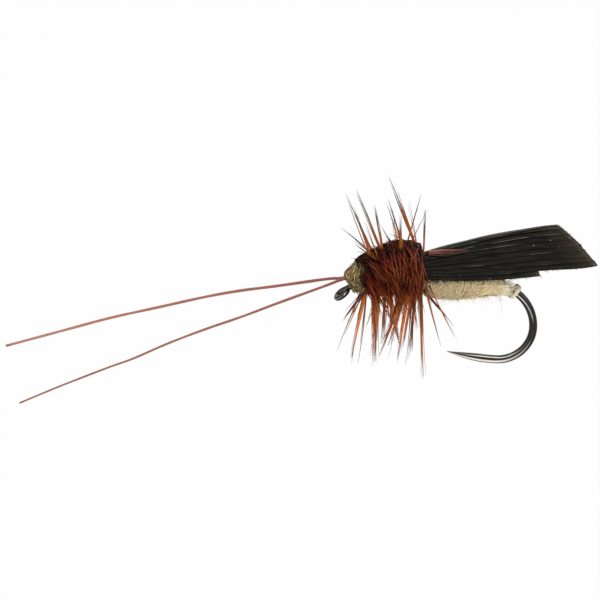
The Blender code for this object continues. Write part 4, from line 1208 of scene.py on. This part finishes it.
class FLY_OT_hackle(FlyPiece, bpy.types.Operator):
    """Hackle: the wound stem, barbs that cling in pointed bundles, and barbs that stand out at the sides"""

    bl_idname = "fly.hackle"
    bl_label = "Hackle"
    seed = 53

    # Thickness of a barb's tip as a share of its root's
    BARB_TIP = 0.14
    # The side barbs start ahead of the winding, in parts of its length, and are sunk by so many mm, more so
    # the farther ahead
    SIDE_START, SIDE_SUNK, AHEAD_SUNK = -0.24, 0.1, 2.2
    # Bundles: x in mm, angle round the thorax, lean to the tail, length in mm, barbs, breadth in mm
    # and lightness
    BUNDLES = (
        (1.75, -15, -22, 4.2, 4, 0.06, 0.85), (2.50, 11, -24, 4.6, 4, 0.06, 0.80),
        (2.15, 34, -23, 4.0, 3, 0.05, 0.75), (2.60, -8, -14, 3.4, 4, 0.06, 0.90),
        (2.10, 23, -49, 3.0, 2, 0.03, 0.35), (3.85, -11, -21, 3.6, 3, 0.07, 0.90),
        (4.75, 8, -23, 4.8, 4, 0.07, 0.95), (3.70, -27, -8, 2.8, 4, 0.09, 1.00),
        (5.20, -38, -7, 4.2, 4, 0.07, 0.90), (4.40, 19, 17, 3.5, 2, 0.04, 0.55),
        (3.30, -19, -32, 1.9, 2, 0.03, 0.10), (2.10, -34, -53, 2.2, 2, 0.03, 0.50),
        (1.40, 194, -38, 2.3, 2, 0.04, 0.12), (1.45, 169, -29, 2.2, 2, 0.04, 0.12),
        (1.50, 202, -13, 4.6, 6, 0.12, 0.85), (1.60, 166, -6, 4.7, 3, 0.05, 0.30),
        (1.90, 225, -1, 4.4, 3, 0.06, 0.20), (2.35, 186, 2, 4.7, 12, 0.24, 0.95),
        (2.80, 216, -7, 3.6, 6, 0.12, 0.45), (3.30, 191, 11, 3.5, 10, 0.20, 0.95),
        (3.85, 230, -23, 3.0, 3, 0.05, 0.08), (4.25, 174, -16, 4.9, 9, 0.15, 0.80),
        (4.40, 208, -11, 4.7, 8, 0.15, 0.95), (4.45, 160, -7, 4.0, 5, 0.10, 0.75),
        (4.50, 233, 1, 3.2, 3, 0.05, 0.06), (4.85, 194, -1, 4.0, 5, 0.09, 0.30),
        (5.10, 228, -3, 4.0, 5, 0.09, 0.35), (5.25, 202, 1, 5.4, 5, 0.09, 0.90),
        (5.30, 205, 0, 5.9, 6, 0.10, 0.95), (5.60, 216, 11, 3.9, 2, 0.04, 0.55),
        (5.85, 228, 21, 3.9, 2, 0.04, 0.60), (5.60, 208, 40, 2.9, 2, 0.03, 0.12),
    )

    def execute(self, context):
        fly, body, rng = self.begin(context)
        sizes, tints = fly.fly_hackle, fly.fly_tints
        root, middle, tip, dark = tints.barb_root, tints.barb_middle, tints.barb_tip, tints.barb_dark
        turn = np.linspace(0.0, sizes.turns, sizes.turns * 60)
        winding, out = body.loop(body.wound(turn / sizes.turns), TURN * turn)
        stem = tubes(winding[None], np.full((1, len(winding)), 0.42 * sizes.stem), 8, facing=out[None])
        bark = felt_finish("hackle_stem_quill", dimmed(root, 0.25), dimmed(root, 0.08))
        add_piece("hackle_stem", stem, bark, ["hackle"])
        under = [
            (0.0, middle, 0.4), (0.2, middle, 0.85), (0.5, middle, 1.0), (0.75, middle, 0.85),
            (0.9, tip, 1.0), (1.0, tip, 1.0),
        ]
        over = [
            (0.0, middle, 0.3), (0.2, middle, 0.7), (0.45, middle, 0.55), (0.65, tip, 0.7), (1.0, tip, 1.0),
        ]
        deep = [(0.0, dark, 1.0), (0.25, root, 0.7), (0.6, dark, 1.0), (1.0, tip, 0.6)]
        for name, light, above in (("under", under, False), ("over", over, True)):
            finish = hair_finish(f"brown_barbs_{name}", light, deep, 0.3, {"Specular IOR Level": 0.3})
            bundles = [self.bundles(body, sizes, rng, hand, above) for hand in (1, -1)]
            add_piece(f"hackle_barbs_{name}", joined(*bundles), finish, ["hackle"])
        # The side barbs take the darker root colour: partly the hackle's own, partly painted shade on barbs
        # seen end-on
        light = [(0.0, root, 1.2), (0.4, root, 2.0), (0.8, middle, 0.5), (1.0, root, 1.0)]
        deep = [(0.0, dark, 1.0), (0.4, root, 1.0), (0.8, root, 1.2), (1.0, dark, 1.0)]
        finish = hair_finish("dark_and_shaded_side_barbs", light, deep, 0.4, {"Specular IOR Level": 0.12})
        sides = [self.sides(body, sizes, rng, hand) for hand in (1, -1)]
        add_piece("hackle_side_barbs", joined(*sides), finish, ["hackle"])
        return {"FINISHED"}

    def bundles(self, body, sizes, rng, hand, above):
        """Pointed bundles: roots a little apart on the stem, ends close together, barbs of unequal length.

        Their way out lies between straight up or down and the thorax's normal. The first barb of a bundle
        is its middle, the thicker the broader the bundle. hand -1 mirrors them and halves their barbs.
        """
        rows = [row for row in self.BUNDLES if (abs(row[1]) < 90) == above]
        x, a, lean, reach, held, breadth, light = np.array(rows).T
        a, lean = np.radians(a) * hand, np.radians(lean)
        roots, _ = body.loop(np.clip(x * MM, body.wound(0.0), body.wound(1.0)), a)
        roots[:, 0] = x * MM
        upright = np.where(np.cos(a) > 0, 0.0, np.sign(a) * math.pi)
        ways = leaning(lean, mix(upright, a, sizes.spread))
        ends = roots + ways * reach[:, None] * MM
        own = np.repeat(np.arange(len(a)), np.ceil(held * (3 + hand) / 4).astype(int))
        draw = Draws(rng, len(own))
        first = np.append(True, own[1:] != own[:-1]) & (hand > 0)
        wide = np.where(first, 0.0, breadth[own])[:, None] * MM
        starts = roots[own] - 0.25 * MM * ways[own] + draw.bell(0, 0.8, 3) * wide * [1.0, 0.8, 0.3]
        loose = draw.bell(0, 0.06, 3) * MM + draw.bell(0, 0.5, 3) * wide
        spans = ends[own] + loose - starts
        spans = spans * np.where(first, 0.95, draw.even(0.7, 1.04))[:, None]
        curl = draw.bell(0, 0.03, 3) * np.linalg.norm(spans, axis=1)[:, None]
        centres = standing_hairs(starts, spans - curl, np.ones(len(own)), curl, 9)
        core = mix(1.0, sizes.core, breadth[own] / breadth.max())
        thick = sizes.barb * mix(1.1, 0.8, above) * np.where(first, core, draw.even(0.7, 1.15))
        tags = np.clip(light[own] + draw.bell(0, 0.12) * ~first, 0.0, 1.0)
        return hair_shape(centres, thick, self.BARB_TIP, tags, 4)

    def sides(self, body, sizes, rng, hand):
        """Barbs that stand out at one side: roots round the stem's loop, in a narrower fan that droops."""
        draw = Draws(rng, sizes.side_barbs)
        order = np.arange(draw.number)
        part = rng.permutation((order + 0.5) / draw.number)
        down = (order + draw.even(0, 1)) / draw.number
        part = mix(self.SIDE_START, 1.0, part)
        around = hand * mix(sizes.side_top, sizes.side_under, down)
        roots, _ = body.loop(body.wound(np.maximum(part, 0.0)), around)
        roots[:, 0] = body.wound(part)
        fan = hand * (mix(sizes.way_top, sizes.way_under, down) + draw.bell(0, 0.12))
        lean = mix(sizes.lean_front, sizes.lean_rear, part) + draw.bell(0, 0.11)
        ways = leaning(lean, fan)
        lengths = sizes.side_length * draw.even(0.8, 1.15)
        curl = draw.bell(0, 0.04, 3) * lengths[:, None]
        curl[:, 2] -= 0.08 * lengths
        sunk = self.SIDE_SUNK - self.AHEAD_SUNK * np.minimum(part, 0.0)
        centres = standing_hairs(roots - sunk[:, None] * MM * ways, ways, lengths, curl, 9)
        return hair_shape(centres, sizes.barb * draw.even(0.7, 1.3), self.BARB_TIP, draw.even(0, 1), 4)


class FLY_OT_wing(FlyPiece, bpy.types.Operator):
    """Wing: barbs of a quill slip side by side, folded over the ridge and cut on a slant"""

    bl_idname = "fly.wing"
    bl_label = "Wing"
    seed = 67

    def execute(self, context):
        fly, body, rng = self.begin(context)
        wing, tints = fly.fly_wing, fly.fly_tints
        black, painted_highlight, tail = tints.wing, tints.wing_highlight, tints.wing_tail
        finish = wing_finish(tints)
        sides = [self.strips(body, wing, rng, side) for side in (-1, 1)]
        add_piece("wing_slip", joined(*sides), finish, ["wing"], "wing")
        # The ridge's barbs run from the painted highlight colour to the tail's
        light = [(0.0, painted_highlight, 0.5), (0.6, painted_highlight, 0.8), (1.0, tail, 1.0)]
        dark = [(0.0, black, 1.0), (1.0, tail, 0.8)]
        ridge_highlight = hair_finish("quill_ridge_painted_highlight", light, dark, 0.4, {"Specular IOR Level": 0.2})
        add_piece("wing_ridge", self.ridge(body, wing, rng), ridge_highlight, [], "wing")
        light, dark = [(0.0, black, 1.0), (1.0, tail, 1.0)], [(0.0, black, 0.6), (1.0, black, 1.0)]
        fuzz = hair_finish("black_quill_frays", light, dark, 0.5, {"Specular IOR Level": 0.2})
        add_piece("wing_frays", self.frayed(body, wing, rng), fuzz, [], "wing")
        add_piece("wing_stub", self.butt(body, wing, rng), finish, ["wing_butt"])
        light = [(0.0, tints.barb_middle, 0.6), (0.35, tints.quill, 0.9), (1.0, tints.barb_root, 0.9)]
        dark = [(0.0, tints.barb_root, 0.7), (0.5, tints.barb_root, 0.8), (1.0, tints.barb_dark, 1.0)]
        gloss = {"Coat Weight": 0.2, "Coat Roughness": 0.25}
        brown = hair_finish("swept_hackle_barbs", light, dark, 0.3, gloss)
        swept = self.swept(body, wing, rng)
        add_piece("swept_bundle", swept, brown, ["swept_barbs"], "wing")
        return {"FINISHED"}

    def strips(self, body, wing, rng, side):
        """Lens-shaped barbs: each keeps its own row of the slip and overlaps the one below like a tile.

        The lowest ends early, and past its end the others spread to the edge.
        """
        number, rows, ring = wing.strips, 60, 14
        edges = np.linspace(0.0, wing.notch_row, number) + rng.normal(0, 0.012, number)
        edges = np.append(edges, 1.0)
        edges[0] = 0.004
        ends = 1 + rng.normal(0, 0.002, number)
        ends[-1] = wing.notch
        along = mix(-wing.root_tuck, 1.0, np.linspace(0.0, 1.0, rows))[None] * ends[:, None]
        wider = mix(1.0, 1 / wing.notch_row, ease((along - wing.notch) / (1 - wing.notch)))
        middle = ((edges[:-1] + edges[1:]) / 2)[:, None] * wider
        half = ((edges[1:] - edges[:-1]) / 2)[:, None] * wider
        sway = np.sin(along * rng.uniform(3, 8, (number, 1)) + rng.uniform(0, TURN, (number, 1)))
        down = middle + 0.12 * half * sway
        width = np.minimum(wing.overlap * half, np.minimum(down, 1.01 - down))
        centre = body.slip(along, down)
        across = (body.slip(along, down + width) - body.slip(along, down - width)) / 2
        out = unit(np.cross(across, np.gradient(centre, axis=1)))
        a = TURN * np.arange(ring) / ring
        thick = (np.sin(a) + 0.3 * np.cos(a))[:, None] * wing.thickness / 2
        taper = (1 - 0.3 * ease((np.linspace(0, 1, rows) - 0.98) / 0.02))[None, :, None, None]
        lens = np.cos(a)[:, None] * across[:, :, None] + thick * out[:, :, None] * taper
        points = centre[:, :, None] + lens - 0.3 * wing.thickness * out[:, :, None]
        places, faces, maps = joined(*[closed(barb[None]) for barb in points])
        if side > 0:
            places = places * [1.0, -1.0, 1.0]
            faces = [group[:, ::-1] for group in faces]
            maps = [group[:, ::-1] for group in maps]
        return places, faces, maps

    def frayed(self, body, wing, rng):
        """Fine fibres along the lower edges and the cut, standing a little off the slip."""
        draw = Draws(rng, wing.frays)
        along = np.where(draw.even(0, 1) < 0.8, draw.even(0.02, 1.0) ** 1.4, 0.99)
        below = along < 0.985
        past = mix(wing.notch_row, 1.0, ease((along - wing.notch) / (1 - wing.notch)))
        edge = np.where(along < wing.notch, 1.0, past) - 0.01
        roots = body.slip(along, np.where(below, edge, draw.even(0.05, 0.97)))
        ways = draw.bell(0, 0.5, 3) + np.where(below, 0.0, 0.9)[:, None] * TAILWARD
        ways[:, 0] += 0.6
        ways[:, 2] -= np.where(below, 0.55, 0.1)
        lengths = rng.gamma(2.0, 0.055, draw.number) * mix(1.6, 0.8, along) * MM
        curl = draw.bell(0, 0.25, 3) * lengths[:, None]
        centres = standing_hairs(roots, unit(ways), lengths, curl, 5)
        centres[..., 1] *= np.where(draw.even(0, 1) < 0.5, 1.0, -1.0)[:, None]
        thick = draw.even(0.01, 0.024) * MM
        return hair_shape(centres, thick, 0.3, draw.even(0, 1) * mix(0.3, 1.0, along))

    def ridge(self, body, wing, rng):
        """Pale barbs along the fold and just below it on either side, their paleness a painted highlight."""
        rows = np.array([0.004, 0.03, 0.03, 0.075, 0.075])[:, None]
        along = np.linspace(0.0, 1.0, 40)[None] * np.array([[1.0], [0.99], [0.98], [0.95], [0.9]])
        centre = body.slip(along, np.broadcast_to(rows, along.shape))
        centre[2::2, :, 1] *= -1
        centre[..., 2] += 0.02 * MM
        sway = np.sin(along * 14 + rng.uniform(0, TURN, (5, 1)))
        radii = wing.ridge_barb * (1 + 0.4 * sway) * (1 - 0.5 * ease((along - 0.9) / 0.1))
        # The fold's barb gets the lightest tag: painted highlight
        return tubes(centre, radii, 8, tags=np.array([0.8, 0.5, 0.5, 0.2, 0.2]))

    def butt(self, body, wing, rng):
        """Barbs of the trimmed front end, side by side over the thorax and out over the head."""
        number = 6
        front = body.head_end - wing.butt_stub
        rear = body.thorax_x[1] - body.hackle.margin
        starts = front + rng.uniform(0.0, 0.12, number) * MM
        x = mix(starts[:, None], rear, np.linspace(0, 1, 48)[None])
        y = (np.arange(number) - (number - 1) / 2)[:, None] * wing.butt_width / number
        height = body.wire.shank_z + body.butt_height(x) + wing.butt_thickness / 2
        wave = 0.02 * MM * np.sin(x / MM * 4 + rng.uniform(0, TURN, (number, 1)))
        centres = np.stack([x, y + 0 * x, height + wave], -1)
        radii = np.full(x.shape, wing.butt_width / number * 0.62)
        return tubes(centres, radii, 8, flat=1.05)

    def swept(self, body, wing, rng):
        """Hackle barbs that start at the wing's root and lie back along its left side."""
        draw = Draws(rng, wing.swept)
        s = np.linspace(0.0, 1.0, 14)[None]
        along = 0.003 + wing.swept_length * draw.even(0.45, 1.0, 1) / wing.ridge_length * s
        part = draw.even(0, 1, 1)
        down = mix(0.05 + 0.13 * part, 0.3 + 0.08 * part, s)
        centre = body.slip(along, down)
        beside = body.slip(along, down + 0.01) - centre
        out = unit(np.cross(beside, np.gradient(centre, axis=1)))
        rise = 0.09 * MM + 0.13 * MM * draw.even(0, 1, 1) + 0.03 * MM * np.sin(math.pi * s)
        thick = draw.even(0.03, 0.05) * MM
        tags = np.clip(1.15 - 1.6 * part[:, 0], 0.0, 1.0)
        return hair_shape(centre + out * rise[..., None], thick, 0.3, tags, 4, out)


class FLY_OT_antennae(FlyPiece, bpy.types.Operator):
    """Antennae: two stripped quills tied in under the head, each one unbroken tube that bends at its root"""

    bl_idname = "fly.antennae"
    bl_label = "Antennae"
    seed = 79

    # Places that a quill passes before it bows: ahead of its root, out to its side and down, in mm
    LEFT = (
        (1.15, 0.30, 0.35), (4.60, 1.27, 1.30), (7.20, 1.96, 2.06), (9.80, 2.65, 2.74), (12.40, 3.32, 3.52),
        (14.95, 3.99, 4.41), (16.65, 4.43, 4.88), (20.10, 5.31, 5.94), (22.95, 6.03, 6.90),
    )
    RIGHT = (
        (0.95, 0.29, 0.14), (4.00, 1.21, 0.84), (6.30, 1.88, 1.33), (8.55, 2.53, 1.93), (11.60, 3.38, 2.88),
        (14.60, 4.23, 3.82), (17.65, 5.06, 4.92), (21.20, 6.03, 6.21),
    )
    # Height of the bow in mm, and its way for the right quill: ahead, out and down
    BOW, BOW_WAY = 1.4, (-0.2347, 0.9415, 0.2419)

    def shares(self, places, side):
        """Places as shares of the reach, moved by a bow: a parabola, highest half way.

        They are rounded like the solids' own.
        """
        places = np.array(places)
        reach = places[-1, 0]
        part = places[:, :1] / reach
        bow = 4 * self.BOW * part * (1 - part) * self.BOW_WAY * [side, 1, side]
        return np.round((places + bow) / reach, 4)

    def execute(self, context):
        fly, _, rng = self.begin(context)
        sizes, tints = fly.fly_antenna, fly.fly_tints
        quill = tints.quill
        joints = {joint["name"]: joint for joint in frame["joints"]}
        sides = (
            ("left", -1, self.LEFT, sizes.left_reach, sizes.left_tip, dimmed(quill, 0.75)),
            ("right", 1, self.RIGHT, sizes.right_reach, sizes.right_tip, tints.quill_pale),
        )
        for name, side, places, reach, tip, shade in sides:
            pivot = np.array(joints[f"antenna_{name}_flex"]["pos_m"])
            far, _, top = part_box(f"antenna_butt_{name}")[1]
            tied = np.array([far, pivot[1], top - sizes.radius])
            over = np.array([mix(far, pivot[0], 0.5), pivot[1], top - sizes.radius])
            ahead = pivot + self.shares(places, side) * [-1, side, -1] * reach
            points = smooth_route(np.vstack([tied, over, pivot, ahead]), 14)
            s = np.linspace(0, 1, len(points))
            knots = np.sin(s * 61 + rng.uniform(0, TURN)) * np.sin(s * 23 + rng.uniform(0, TURN))
            radii = mix(sizes.radius, tip, s**0.8) * (1 + 0.07 * knots)
            shape = tubes(points[None], radii[None], 12)
            finish = quill_finish(f"red_brown_quill_{name}", quill, shade, tints)
            nodes = [f"antenna_{name}", f"antenna_butt_{name}"]
            piece = add_piece(f"antenna_quill_{name}", shape, finish, nodes, None)
            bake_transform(piece)
        return {"FINISHED"}


class FLY_OT_stage(bpy.types.Operator):
    """Stage: a pale floor, soft lamps, a white background and the camera"""

    bl_idname = "fly.stage"
    bl_label = "Stage"

    # Strength of the light from all round, and share of the floor's look that is plain white
    AMBIENT, FLOOR_WHITE = 0.62, 0.94
    # Lamps: place and size in metres, and power in watts
    LAMPS = (
        ("key_lamp", (-0.05, -0.22, 0.26), (0.05, 0.30), 0.36),
        ("fill_lamp", (0.10, -0.28, -0.03), (0.12, 0.20), 0.42),
        ("rim_lamp", (0.16, 0.16, 0.24), (0.06, 0.24), 0.22),
    )

    def execute(self, context):
        sizes, tints = context.scene.fly_stage, context.scene.fly_tints
        context.scene.view_settings.view_transform = "Standard"
        self.add_world(context, tints.paper)
        self.add_floor(sizes, tints.paper)
        for name, place, size, power in self.LAMPS:
            self.add_lamp(name, Vector(place), size, power)
        self.add_camera(context, sizes)
        return {"FINISHED"}

    def seen(self, graph):
        """1 for rays that show the background: from the camera, off gloss and through glass."""
        kinds = "Camera", "Glossy", "Transmission"
        direct, gloss, through = (
            graph.node("ShaderNodeLightPath", {}, {}, f"Is {kind} Ray") for kind in kinds
        )
        return graph.maths("MAXIMUM", graph.maths("MAXIMUM", direct, gloss), through)

    def add_world(self, context, paper):
        world = bpy.data.worlds.new("studio")
        context.scene.world = world
        world.use_nodes = True
        graph = Graph(world.node_tree)
        shown = self.seen(graph)
        output = world.node_tree.nodes["World Output"]
        lit = graph.node("ShaderNodeBackground", {}, {"Color": paper, "Strength": self.AMBIENT})
        white = graph.node("ShaderNodeBackground", {}, {"Color": paper, "Strength": 1.0})
        both = graph.node("ShaderNodeMixShader", {}, {0: shown, 1: lit, 2: white})
        graph.feed(output.inputs["Surface"], both)

    def add_floor(self, sizes, paper):
        """Flat disc below the fly: white paper that keeps a soft shadow."""
        a = TURN * np.arange(64) / 64
        across, deep = sizes.floor_size * np.cos(a), sizes.floor_size * np.sin(a)
        rim = np.stack([across, deep, 0 * a - sizes.floor_drop], -1)
        mesh = bpy.data.meshes.new("paper_floor")
        mesh.from_pydata(rim.tolist(), [], [list(range(64))])
        finish = Finish("white_paper", {"Base Color": dimmed(paper, 0.9), "Roughness": 0.9})
        grain = finish.noise(finish.spot(), 400.0)
        finish.set({"Roughness": grain * 0.1 + 0.85})
        glow = finish.node("ShaderNodeEmission", {}, {"Color": paper, "Strength": 1.0})
        own = Field(finish, finish.shader.outputs["BSDF"])
        shown = self.seen(finish) * self.FLOOR_WHITE
        both = finish.node("ShaderNodeMixShader", {}, {0: shown, 1: own, 2: glow})
        finish.feed(finish.tree.nodes["Material Output"].inputs["Surface"], both)
        mesh.materials.append(finish.material)
        placed("paper_floor", mesh)

    def add_lamp(self, name, place, size, power):
        lamp = bpy.data.lights.new(name, "AREA")
        lamp.shape = "RECTANGLE"
        lamp.size, lamp.size_y = size
        lamp.energy = power
        holder = placed(name, lamp)
        holder.location = place
        holder.rotation_euler = (-place).to_track_quat("-Z", "Y").to_euler()

    def add_camera(self, context, sizes):
        """Long lens at the photograph's angle, turned so that the shank lies level in the picture."""
        a, e = sizes.azimuth, sizes.elevation
        back = Vector((math.sin(a) * math.cos(e), -math.cos(a) * math.cos(e), math.sin(e)))
        level = Vector((math.cos(a), math.sin(a), 0.0))
        plumb = back.cross(level)
        right = level * math.cos(sizes.roll) + plumb * math.sin(sizes.roll)
        up = back.cross(right)
        lens = bpy.data.cameras.new("camera")
        lens.sensor_width = 36.0
        lens.lens = lens.sensor_width * sizes.distance / sizes.breadth
        lens.clip_start = 0.01
        camera = placed("camera", lens)
        turn = Matrix((right, up, back)).transposed().to_4x4()
        place = right * sizes.aside + up * sizes.above + back * sizes.distance
        camera.matrix_world = Matrix.Translation(place) @ turn
        context.scene.camera = camera


class FLY_PT_panel(bpy.types.Panel):
    """Lists the fly's pieces in the sidebar"""

    bl_idname = "FLY_PT_panel"
    bl_label = "Dry Fly"
    bl_space_type = "VIEW_3D"
    bl_region_type = "UI"
    bl_category = "Dry Fly"

    def draw(self, context):
        for operator in OPERATORS:
            self.layout.operator(operator.bl_idname)
        for name in GROUPS:
            settings = getattr(context.scene, name)
            for key in settings.bl_rna.properties.keys():
                if key not in ("rna_type", "name"):
                    self.layout.prop(settings, key)


GROUPS = {
    "fly_hook": FlyHookSizes,
    "fly_body": FlyBodySizes,
    "fly_hackle": FlyHackleSizes,
    "fly_wing": FlyWingSizes,
    "fly_antenna": FlyAntennaSizes,
    "fly_stage": FlyStageSizes,
    "fly_tints": FlyTints,
}
OPERATORS = (
    FLY_OT_hook, FLY_OT_thread, FLY_OT_abdomen, FLY_OT_tag, FLY_OT_thorax, FLY_OT_head,
    FLY_OT_hackle, FLY_OT_wing, FLY_OT_antennae, FLY_OT_stage,
)


def register():
    for made in (*GROUPS.values(), *OPERATORS, FLY_PT_panel):
        bpy.utils.register_class(made)
    for name, group in GROUPS.items():
        setattr(bpy.types.Scene, name, bpy.props.PointerProperty(type=group))


def unregister():
    for name in GROUPS:
        delattr(bpy.types.Scene, name)
    for made in reversed((*GROUPS.values(), *OPERATORS, FLY_PT_panel)):
        bpy.utils.unregister_class(made)


def main():
    register()
    bpy.ops.fly.hook()
    bpy.ops.fly.thread()
    bpy.ops.fly.abdomen()
    bpy.ops.fly.tag()
    bpy.ops.fly.thorax()
    bpy.ops.fly.head()
    bpy.ops.fly.hackle()
    bpy.ops.fly.wing()
    bpy.ops.fly.antennae()
    bpy.ops.fly.stage()


if __name__ == "__main__":
    main()
